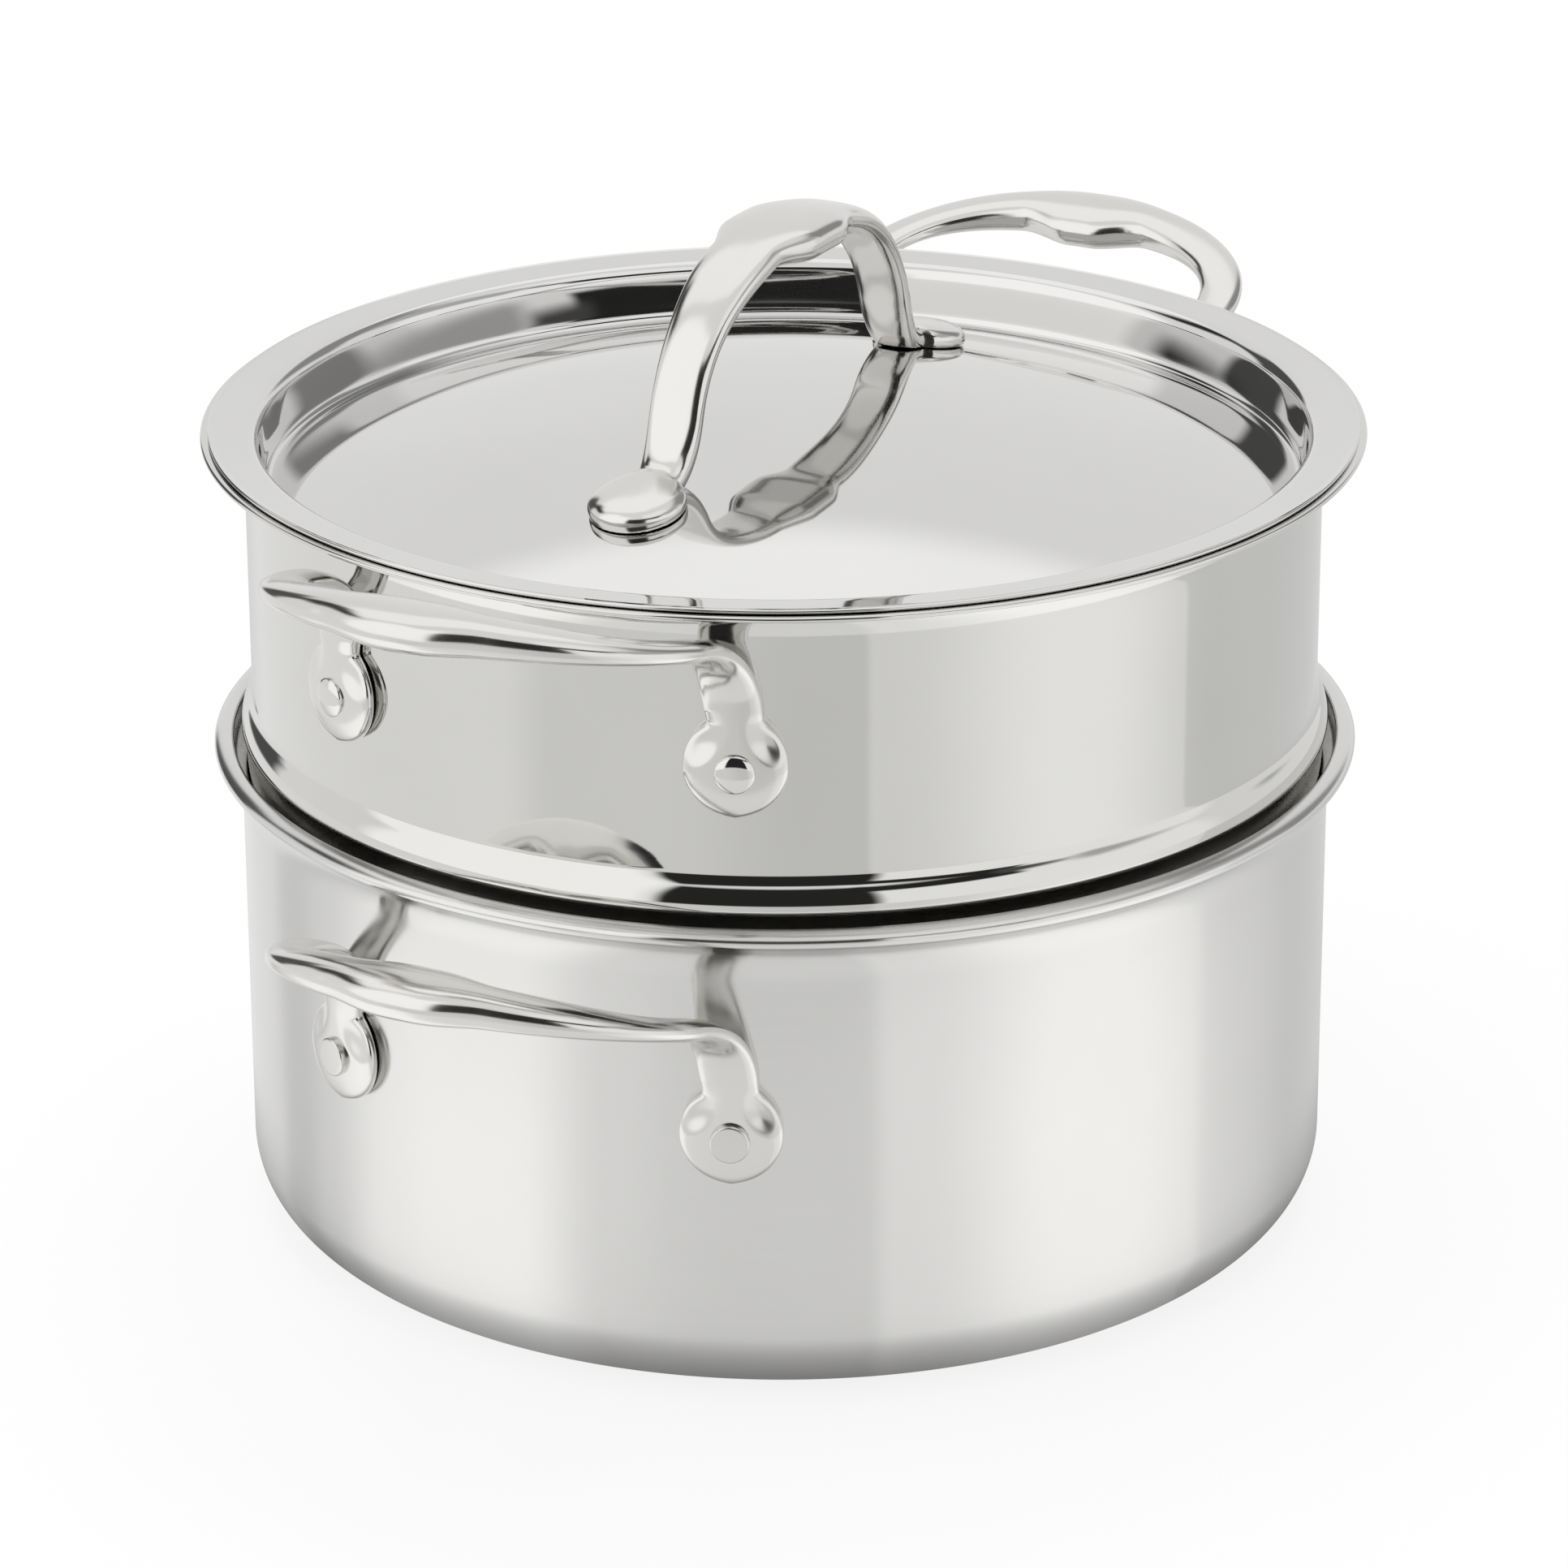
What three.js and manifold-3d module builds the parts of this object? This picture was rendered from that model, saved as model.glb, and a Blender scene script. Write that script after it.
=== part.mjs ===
// Soup pot with a lift-out steamer insert and a recessed lid, all in polished steel.
// Millimetres, +Z up. The origin lies on the floor under the middle of the pot, and the
// pot's loop handles, the insert's loop handles and the lid's handle all lie along X.
import * as THREE from 'three';
import { mergeVertices } from 'three/addons/utils/BufferGeometryUtils.js';
import Module from 'manifold-3d';

// Fits and facets
const SEAT_GAP = 0.3; // between pieces that rest on each other
const SLIDE_GAP = 1.0; // round the insert's skirt inside the pot
const PLUG_GAP = 0.9; // round the lid's recess inside the insert
const SHANK_GAP = 0.3; // round a rivet's shank in its hole
const TURN_STEPS = 40; // facets of a full turn
const ARC_STEPS = 4; // facets of a quarter round in a profile
const ROUND_STEPS = 2; // facets of the insert's small floor round
const SEAT_STEPS = 2; // facets of the insert's seat in the pot's mouth
const BEND_STEPS = 3; // facets of a bend in sheet
const DOME_STEPS = 5; // facets of the lid's dome, from its middle to its foot
const ROUND_PULL = 0.56; // share of a quarter round's size that pulls a cubic curve into it

// Pot
const POT_BORE_RADIUS = 120;
const POT_WALL = 2.5;
const POT_FLOOR = 5;
const POT_HEIGHT = 112;
const POT_BASE_ROUND = 16;
const POT_FLARE_HEIGHT = 12; // how far below the lip the wall starts to open
const POT_FLARE_REACH = 5; // from the bore out to the top of the lip
const POT_LIP_REACH = 3.5; // from the top of the lip out to its edge
const POT_LIP_DROP = 2; // from the top of the lip down to its edge
const POT_LIP_EDGE = 1.2; // thickness of the lip's edge
const POT_LIP_ROUND = 0.9; // round of the lip's inner edge
const POT_POCKET_DEPTH = 3.4; // foot of the upright pocket round the bead, below the lip
const POT_MOUTH_DEPTH = 11; // where the mouth meets the bore, below the lip
const POT_LIP_STEPS = 2; // facets of each round of the lip
const POT_MOUTH_STEPS = 3; // facets of the mouth's slope

// Steamer insert
const INSERT_WALL = 1.5;
const INSERT_STEP = 0.7; // from the skirt out to the upper wall
const INSERT_DEPTH = 24; // floor's underside below the pot's lip
const INSERT_FLOOR_ROUND = 6;
const INSERT_BEAD_INSET = 2.7; // bead's edge inside the top of the pot's lip
const INSERT_BEAD_LIFT = 0.6; // top of the bead's upright edge above the pot's lip
const INSERT_BEAD_ROUND = 10; // the long round above that edge
const INSERT_BEAD_TURN = 36; // degrees of the round, up from level
const INSERT_BEAD_STEPS = 2; // facets of the round, and of the cove above it
const INSERT_SEAT_OUT = 0.5; // start of the seat, out from the pot's bore
const INSERT_SEAT_DROP = 3.6; // from the seat's start down to the straight skirt
const INSERT_RISE = 70.6; // rim above the pot's lip
const INSERT_FLARE_HEIGHT = 9;
const INSERT_RIM_REACH = 9.5; // from the upper wall out to the rim's edge
const INSERT_RIM_EDGE = 1.3;
const RIM_SLOPE = THREE.MathUtils.degToRad(5); // rim and lid flange fall toward the middle

// Holes in the insert's floor, in rings round one in the middle
const HOLE_RADIUS = 4;
const HOLE_RING_PITCH = 22;
const HOLE_MARGIN = 8; // metal left between the outer ring and the floor's round
const HOLE_SIDES = 8;
const HOLE_BIT_LENGTH = 5; // longer than the floor is thick

// Lid
const LID_SHEET = 0.9;
const LID_EDGE_INSET = 1.6; // lid's edge inside the insert's rim
const LID_RECESS_DEPTH = 14.8;
const LID_RECESS_TAPER = 2.5; // how much narrower the recess is at its foot
const LID_RECESS_ROUND = 3;
const LID_BEND = 3;
const LID_DOME_RISE = 18.5; // middle of the lid above the foot of the recess

// Loop handles of the pot and the insert
const POT_RIVET_HEIGHT = 63.8;
const INSERT_RIVET_RISE = 34.2; // above the pot's lip
const FOOT_HALF_SPAN = 47.1; // each rivet off the handle's axis, across the wall
const LOOP_REACH = 41.2; // middle of the boss beyond the wall
const POT_LOOP_RISE = 42.6; // middle of the boss above the rivets, on the pot
const INSERT_LOOP_RISE = 40; // the same on the insert
const POT_LOOP_SHOULDER = 30.6; // where the pot's loops turn down into their legs, above the rivets
const INSERT_LOOP_SHOULDER = 31.2; // the same on the insert
const LOOP_HALF_SPAN = 46; // sides of the loop
const LOOP_ROUND = 35.5; // length of the loop's round end, along its reach
const LOOP_PULL = 0.6; // as ROUND_PULL, for the loop's squarer round
const LEG_HEIGHT = 18; // top of the leg above the rivet
const LEG_FROM = 7; // where the leg leaves the foot, above the rivet
const LEG_LEAN = 1.7; // top of the leg, in from the foot toward the handle's axis
const LEG_SLANT = 0.2; // lean at the leg's top, for each millimetre of height
const BOSS_WIDTH = 20.5;
const BOSS_THICK = 10;
const BOSS_INSET = 1.4; // middle of the boss inside the middle of the bar
const BOSS_FLAT = 5; // half the boss's full part, along the bar
const BOSS_LENGTH = 16; // half the boss, with its ends
const BOSS_TILT = THREE.MathUtils.degToRad(8);
const BAR_WIDTH = 13.6;
const BAR_THICK = 8.8;
const BAR_TAPER = 0.85; // share of the bar over which it slims down
const SHOULDER_WIDTH = 9.8; // where the bar turns down into a leg
const SHOULDER_THICK = 4;
const NECK_WIDTH = 11.4;
const FOOT_RADIUS = 11.1;
const FOOT_LIFT = 0.9; // middle of the round foot above the rivet
const FOOT_THICK = 4.4;
const FOOT_SINK = 1; // solid that the wall's curve takes off the back of a foot
const LOOP_STEPS = 10; // stations on half of the loop above the leg
const FOOT_STEPS = 6; // stations from the leg's top to the foot's end
const STRAP_SIDES = 10;
const STRAP_SQUARENESS = 2.8; // 2 is an ellipse, more is squarer
const PAD_TIP = 0.25; // width of a pad's last station, as a share of the pad's

// Rivets
const RIVET_SHANK_RADIUS = 2.5;
const RIVET_HEAD_RADIUS = 4.3;
const RIVET_HEAD_THICK = 1.5;
const RIVET_INNER_RADIUS = 4.5;
const RIVET_INNER_THICK = 1.2;
const RIVET_SPOT_DEPTH = 0.4; // flat cut for the head in the foot's crowned face
const RIVET_INNER_CROWN = 0.8; // flat of the inner head, as a share of its radius
const RIVET_HEAD_CROWN = 0.85; // flat of the outer head, as a share of its radius
const RIVET_HEAD_BEVEL = 0.3; // bevel of the outer head, as a share of its thickness
const RIVET_SIDES = 12;

// Lid handle
const ARCH_HALF_SPAN = 50.4;
const ARCH_RISE = 41; // crest above the springing
const ARCH_SPRING = 3; // springing above the lid's rim edge
const ARCH_SQUARENESS = 2.25;
const ARCH_WIDTH = 16.6; // beside the boss
const ARCH_THICK = 6.4;
const ARCH_LEG_WIDTH = 12.6;
const ARCH_LEG_THICK = 4.6;
const ARCH_LEG_FROM = 20; // where the arch starts to slim down into a leg, off the lid's axis
const ARCH_LEG_TO = 48; // where it is as slim as the leg
const ARCH_BOSS_WIDTH = 24.4;
const ARCH_BOSS_THICK = 8.8;
const ARCH_BOSS_FLAT = 5; // half the boss's full part
const ARCH_BOSS_LENGTH = 18; // half the boss, with its ends
const ARCH_NECK_WIDTH = 10.8;
const ARCH_PAD_RADIUS = 10.7;
const ARCH_PAD_OFFSET = 66.7; // middle of a pad from the lid's axis
const ARCH_PAD_THICK = 5.2;
const ARCH_PAD_WIDEST = 1.5; // widest line of a pad's rounded edge above the dome
const ARCH_FOOT_ANGLE = THREE.MathUtils.degToRad(14); // where the arch turns out to its pad
const ARCH_TURN = 8.2; // length of that turn along the lid
const ARCH_STEPS = 9;
const TURN_OUT_STEPS = 3;
const PAD_STEPS = 6;

// Shades and roughness of the steels
const POT_SHADE = 0xcfcdc9;
const POT_ROUGHNESS = 0.2;
const INSERT_SHADE = 0xd4d2cf;
const INSERT_ROUGHNESS = 0.08;
const LID_SHADE = 0xd6d5d3;
const LID_ROUGHNESS = 0.08;
const CAST_SHADE = 0xd2cfc9;
const CAST_ROUGHNESS = 0.12;
const RIVET_SHADE = 0xc9c7c2;
const RIVET_ROUGHNESS = 0.2;

// Sizes that follow from the driving ones
const potWallRadius = POT_BORE_RADIUS + POT_WALL;
const potLipRadius = POT_BORE_RADIUS + POT_FLARE_REACH;
const pocketRadius = potLipRadius - POT_LIP_ROUND;
const skirtRadius = POT_BORE_RADIUS - SLIDE_GAP;
const insertWallRadius = skirtRadius + INSERT_STEP;
const insertBoreRadius = insertWallRadius - INSERT_WALL;
const insertRimRadius = insertWallRadius + INSERT_RIM_REACH;
const beadRadius = potLipRadius - INSERT_BEAD_INSET;
const lidEdgeRadius = insertRimRadius - LID_EDGE_INSET;
const plugRadius = insertBoreRadius - PLUG_GAP;

const wasm = await Module();
wasm.setup();

// Turns a closed three.js geometry into a solid for joining and cutting.
function solidOf(geometry) {
  const bare = geometry.clone();
  bare.deleteAttribute('normal');
  bare.deleteAttribute('uv');
  const merged = mergeVertices(bare, 1e-4);
  const mesh = new wasm.Mesh({
    numProp: 3,
    vertProperties: new Float32Array(merged.attributes.position.array),
    triVerts: new Uint32Array(merged.index.array),
  });
  mesh.merge();
  const solid = new wasm.Manifold(mesh);
  return solid.volume() < 0 ? solidOf(turnedInsideOut(merged)) : solid;
}

function turnedInsideOut(geometry) {
  const index = geometry.index.array;
  for (let i = 0; i < index.length; i += 3) {
    [index[i], index[i + 1]] = [index[i + 1], index[i]];
  }
  return geometry;
}

function geometryOf(solid) {
  const mesh = solid.getMesh();
  const geometry = new THREE.BufferGeometry();
  geometry.setAttribute('position', new THREE.BufferAttribute(mesh.vertProperties, 3));
  geometry.setIndex(new THREE.BufferAttribute(mesh.triVerts, 1));
  geometry.computeVertexNormals();
  return geometry;
}

// A turned solid from a closed profile of radius and height, about the Z axis.
function turned(profile, steps = TURN_STEPS) {
  const geometry = new THREE.LatheGeometry(profile, steps);
  geometry.rotateX(Math.PI / 2);
  return solidOf(geometry);
}

// A round bar from one distance to another along +X.
function barAlongX(radius, from, to, sides = RIVET_SIDES) {
  const geometry = new THREE.CylinderGeometry(radius, radius, to - from, sides);
  geometry.rotateZ(-Math.PI / 2);
  geometry.translate((from + to) / 2, 0, 0);
  return solidOf(geometry);
}

const point = (radius, height) => new THREE.Vector2(radius, height);

// Part of an ellipse in a profile, between two angles, ends included.
function arc(centre, across, up, from, to, steps = ARC_STEPS) {
  const curve = new THREE.EllipseCurve(
    centre.x, centre.y, across, up,
    THREE.MathUtils.degToRad(from), THREE.MathUtils.degToRad(to), to < from,
  );
  return curve.getPoints(steps);
}

function bend(start, corner, end, steps = ARC_STEPS) {
  return new THREE.QuadraticBezierCurve(start, corner, end).getPoints(steps);
}

// The pot's mouth slopes in an S from its upright pocket in to the bore. Shares run from
// 0 at the pocket to 1 at the bore, and a clearance moves the slope off the metal.
function mouth(from, to, clearance, lipHeight, steps) {
  const top = lipHeight - POT_POCKET_DEPTH;
  const low = lipHeight - POT_MOUTH_DEPTH;
  const pull = (top - low) * ROUND_PULL;
  const slope = new THREE.CubicBezierCurve(
    point(pocketRadius, top), point(pocketRadius, top - pull),
    point(POT_BORE_RADIUS, low + pull), point(POT_BORE_RADIUS, low),
  );
  const points = [];
  for (let i = 0; i <= steps; i++) {
    const share = from + ((to - from) * i) / steps;
    const way = slope.getTangent(share);
    points.push(slope.getPoint(share).add(point(way.y, -way.x).multiplyScalar(clearance)));
  }
  return points;
}

// Share of the mouth's slope at a radius: its radius falls as 3t^2 - 2t^3, turned round here.
function mouthShare(radius) {
  const fallen = (pocketRadius - radius) / (pocketRadius - POT_BORE_RADIUS);
  return 0.5 - Math.sin(Math.asin(1 - 2 * fallen) / 3);
}

// Pot body
function potBody() {
  const inner = POT_BASE_ROUND - POT_WALL;
  const edge = point(potLipRadius + POT_LIP_REACH, POT_HEIGHT - POT_LIP_DROP);
  const under = point(edge.x - POT_LIP_EDGE / 2, edge.y - POT_LIP_EDGE);
  const flareStart = POT_HEIGHT - POT_FLARE_HEIGHT - POT_LIP_EDGE;
  const baseCentre = point(potWallRadius - POT_BASE_ROUND, POT_BASE_ROUND);
  const floorCentre = point(POT_BORE_RADIUS - inner, POT_FLOOR + inner);
  const lipCentre = point(potLipRadius, edge.y);
  const innerEdge = point(potLipRadius, POT_HEIGHT - POT_LIP_ROUND);
  return turned([
    point(0, 0),
    ...arc(baseCentre, POT_BASE_ROUND, POT_BASE_ROUND, -90, 0),
    ...bend(point(potWallRadius, flareStart), point(potWallRadius, under.y - POT_LIP_DROP), under),
    ...arc(lipCentre, POT_LIP_REACH, POT_LIP_DROP, 0, 90, POT_LIP_STEPS),
    ...arc(innerEdge, POT_LIP_ROUND, POT_LIP_ROUND, 90, 180, POT_LIP_STEPS).slice(1),
    ...mouth(0, 1, 0, POT_HEIGHT, POT_MOUTH_STEPS),
    ...arc(floorCentre, inner, inner, 0, -90),
    point(0, POT_FLOOR),
  ]);
}

// Steamer insert, with heights from the pot's lip
function insertBody() {
  const floor = -INSERT_DEPTH;
  const inner = INSERT_FLOOR_ROUND - INSERT_WALL;
  const skirtBore = skirtRadius - INSERT_WALL;
  const roundCentre = point(skirtRadius - INSERT_FLOOR_ROUND, floor + INSERT_FLOOR_ROUND);
  const bead = point(beadRadius - INSERT_BEAD_ROUND, INSERT_BEAD_LIFT);
  const beadTop = arc(bead, INSERT_BEAD_ROUND, INSERT_BEAD_ROUND, 0, INSERT_BEAD_TURN, INSERT_BEAD_STEPS);
  const beadEnd = beadTop[INSERT_BEAD_STEPS];
  const turn = THREE.MathUtils.degToRad(INSERT_BEAD_TURN);
  const coveRound = (beadEnd.x - insertWallRadius) / (1 - Math.cos(turn));
  const cove = point(insertWallRadius + coveRound, beadEnd.y + coveRound * Math.sin(turn));
  const seatFrom = mouthShare(POT_BORE_RADIUS + INSERT_SEAT_OUT);
  const seat = mouth(seatFrom, mouthShare(beadRadius), SEAT_GAP, 0, SEAT_STEPS);
  const skirtTop = point(skirtRadius, seat[0].y - INSERT_SEAT_DROP);
  const flare = INSERT_RISE - INSERT_FLARE_HEIGHT;
  const rimTop = (radius) => INSERT_RISE - (insertRimRadius - radius) * Math.tan(RIM_SLOPE);
  const flatFrom = insertWallRadius + INSERT_RIM_REACH / 2;
  const rimUnder = (radius) => rimTop(radius) - INSERT_RIM_EDGE;
  const profile = [
    point(0, floor),
    ...arc(roundCentre, INSERT_FLOOR_ROUND, INSERT_FLOOR_ROUND, -90, 0, ROUND_STEPS),
    skirtTop,
    ...seat,
    ...beadTop,
    ...arc(cove, coveRound, coveRound, 180 + INSERT_BEAD_TURN, 180, INSERT_BEAD_STEPS).slice(1),
    ...bend(
      point(insertWallRadius, flare),
      point(insertWallRadius, rimUnder(insertWallRadius)),
      point(flatFrom, rimUnder(flatFrom)),
      BEND_STEPS,
    ),
    point(insertRimRadius, rimUnder(insertRimRadius)),
    point(insertRimRadius, rimTop(insertRimRadius)),
    ...bend(
      point(flatFrom, rimTop(flatFrom)),
      point(insertBoreRadius, rimTop(insertBoreRadius)),
      point(insertBoreRadius, flare),
      BEND_STEPS,
    ),
    point(insertBoreRadius, cove.y),
    point(beadEnd.x - INSERT_WALL, beadEnd.y),
    point(beadRadius - INSERT_WALL, INSERT_BEAD_LIFT),
    point(beadRadius - INSERT_WALL, seat[SEAT_STEPS].y + INSERT_WALL / 2),
    point(seat[0].x - INSERT_WALL, seat[0].y + INSERT_WALL / 2),
    point(skirtBore, skirtTop.y),
    ...arc(roundCentre, inner, inner, 0, -90, ROUND_STEPS),
    point(0, floor + INSERT_WALL),
  ];
  return turned(profile).subtract(floorHoles(floor));
}

// Holes through the insert's floor, six more in each ring than in the one inside it
function floorHoles(floor) {
  const reach = skirtRadius - INSERT_FLOOR_ROUND - HOLE_MARGIN - HOLE_RADIUS;
  const rings = Math.floor(reach / HOLE_RING_PITCH);
  const drill = new THREE.CylinderGeometry(HOLE_RADIUS, HOLE_RADIUS, HOLE_BIT_LENGTH, HOLE_SIDES);
  drill.rotateX(Math.PI / 2);
  drill.translate(0, 0, floor + INSERT_WALL / 2);
  const bit = solidOf(drill);
  const bits = [bit];
  for (let ring = 1; ring <= rings; ring++) {
    const count = 6 * ring;
    for (let i = 0; i < count; i++) {
      const angle = (2 * Math.PI * i) / count;
      const radius = ring * HOLE_RING_PITCH;
      bits.push(bit.translate([radius * Math.cos(angle), radius * Math.sin(angle), 0]));
    }
  }
  return wasm.Manifold.union(bits);
}

// Lid, with heights from the insert's rim edge
const lidFlangeTop = (radius) =>
  SEAT_GAP + LID_SHEET - (insertRimRadius - radius) * Math.tan(RIM_SLOPE);
const lidFootRadius = plugRadius - LID_SHEET - LID_RECESS_TAPER;
const lidFootHeight = SEAT_GAP + LID_SHEET - LID_RECESS_DEPTH;
const domeRadius = (lidFootRadius ** 2 + LID_DOME_RISE ** 2) / (2 * LID_DOME_RISE);

function domeHeight(radius) {
  const drop = domeRadius - Math.sqrt(domeRadius ** 2 - radius ** 2);
  return lidFootHeight + LID_DOME_RISE - drop;
}

function dome(from, to, offset, steps) {
  const points = [];
  for (let i = 0; i <= steps; i++) {
    const radius = from + ((to - from) * i) / steps;
    points.push(point(radius, domeHeight(radius) + offset));
  }
  return points;
}

function lidShell() {
  const wallTop = point(plugRadius - LID_SHEET, lidFlangeTop(plugRadius) - LID_BEND);
  const flangeStart = point(plugRadius + LID_BEND, lidFlangeTop(plugRadius + LID_BEND));
  const foot = point(lidFootRadius, lidFootHeight);
  const domeEnd = lidFootRadius - LID_RECESS_ROUND;
  const footEnd = point(lidFootRadius + LID_RECESS_TAPER / 4, lidFootHeight + LID_RECESS_ROUND);
  const lower = (from) => point(from.x, from.y - LID_SHEET);
  const outer = (from) => point(from.x + LID_SHEET, from.y - LID_SHEET / 2);
  return turned([
    ...dome(0, domeEnd, 0, DOME_STEPS),
    ...bend(point(domeEnd, domeHeight(domeEnd)), foot, footEnd, BEND_STEPS).slice(1),
    ...bend(wallTop, point(wallTop.x + LID_SHEET / 2, flangeStart.y), flangeStart, BEND_STEPS),
    point(lidEdgeRadius, lidFlangeTop(lidEdgeRadius)),
    point(lidEdgeRadius, lidFlangeTop(lidEdgeRadius) - LID_SHEET),
    ...bend(
      lower(flangeStart),
      point(wallTop.x + LID_SHEET, flangeStart.y - LID_SHEET),
      outer(wallTop),
      BEND_STEPS,
    ),
    ...bend(
      outer(footEnd),
      outer(lower(foot)),
      lower(point(domeEnd, domeHeight(domeEnd))),
      BEND_STEPS,
    ),
    ...dome(domeEnd, 0, -LID_SHEET, DOME_STEPS).slice(1),
  ]);
}

// One station of a strap: its middle, its directions across and through, and its size
const station = (at, across, through, width, thick) => ({ at, across, through, width, thick });

// A strap carried through its stations, with a rounded rectangle for a section. Its side
// facets lie at the full width.
function strap(stations) {
  const vertices = [];
  const index = [];
  const rounded = (value) => Math.sign(value) * Math.abs(value) ** (2 / STRAP_SQUARENESS);
  const flat = rounded(Math.cos(Math.PI / STRAP_SIDES));
  for (const { at, across, through, width, thick } of stations) {
    for (let side = 0; side < STRAP_SIDES; side++) {
      const angle = (2 * Math.PI * (side + 0.5)) / STRAP_SIDES;
      const place = at.clone()
        .addScaledVector(across, (rounded(Math.cos(angle)) * width) / (2 * flat))
        .addScaledVector(through, (rounded(Math.sin(angle)) * thick) / 2);
      vertices.push(place.x, place.y, place.z);
    }
  }
  for (let row = 0; row + 1 < stations.length; row++) {
    for (let side = 0; side < STRAP_SIDES; side++) {
      const a = row * STRAP_SIDES + side;
      const b = row * STRAP_SIDES + ((side + 1) % STRAP_SIDES);
      index.push(a, b, a + STRAP_SIDES, b, b + STRAP_SIDES, a + STRAP_SIDES);
    }
  }
  const last = (stations.length - 1) * STRAP_SIDES;
  for (let side = 1; side + 1 < STRAP_SIDES; side++) {
    index.push(0, side + 1, side);
    index.push(last, last + side, last + side + 1);
  }
  const geometry = new THREE.BufferGeometry();
  geometry.setAttribute('position', new THREE.Float32BufferAttribute(vertices, 3));
  geometry.setIndex(index);
  return solidOf(geometry);
}

// The other half of a strap that is mirrored in the plane across one axis
function withMirror(half, axis) {
  const flip = (vector) => vector.clone().setComponent(axis, -vector.getComponent(axis));
  const other = half.slice(1).map(({ at, across, through, width, thick }) =>
    station(flip(at), flip(across), flip(through), width, thick));
  return [...other.reverse(), ...half];
}

const smooth = (value) => THREE.MathUtils.smoothstep(value, 0, 1);
const mix = THREE.MathUtils.lerp;

// Width of a strap that ends in a round pad, by the distance past the pad's middle
function padWidth(past, radius, neck) {
  const round = 2 * Math.sqrt(Math.max(radius ** 2 - past ** 2, 0));
  return past < 0 ? Math.max(round, neck) : Math.max(round, 2 * radius * PAD_TIP);
}

// How far round a wall of the given radius each rivet lies from the handle's axis
const footAngle = (wallRadius) => Math.asin(FOOT_HALF_SPAN / wallRadius);

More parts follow.
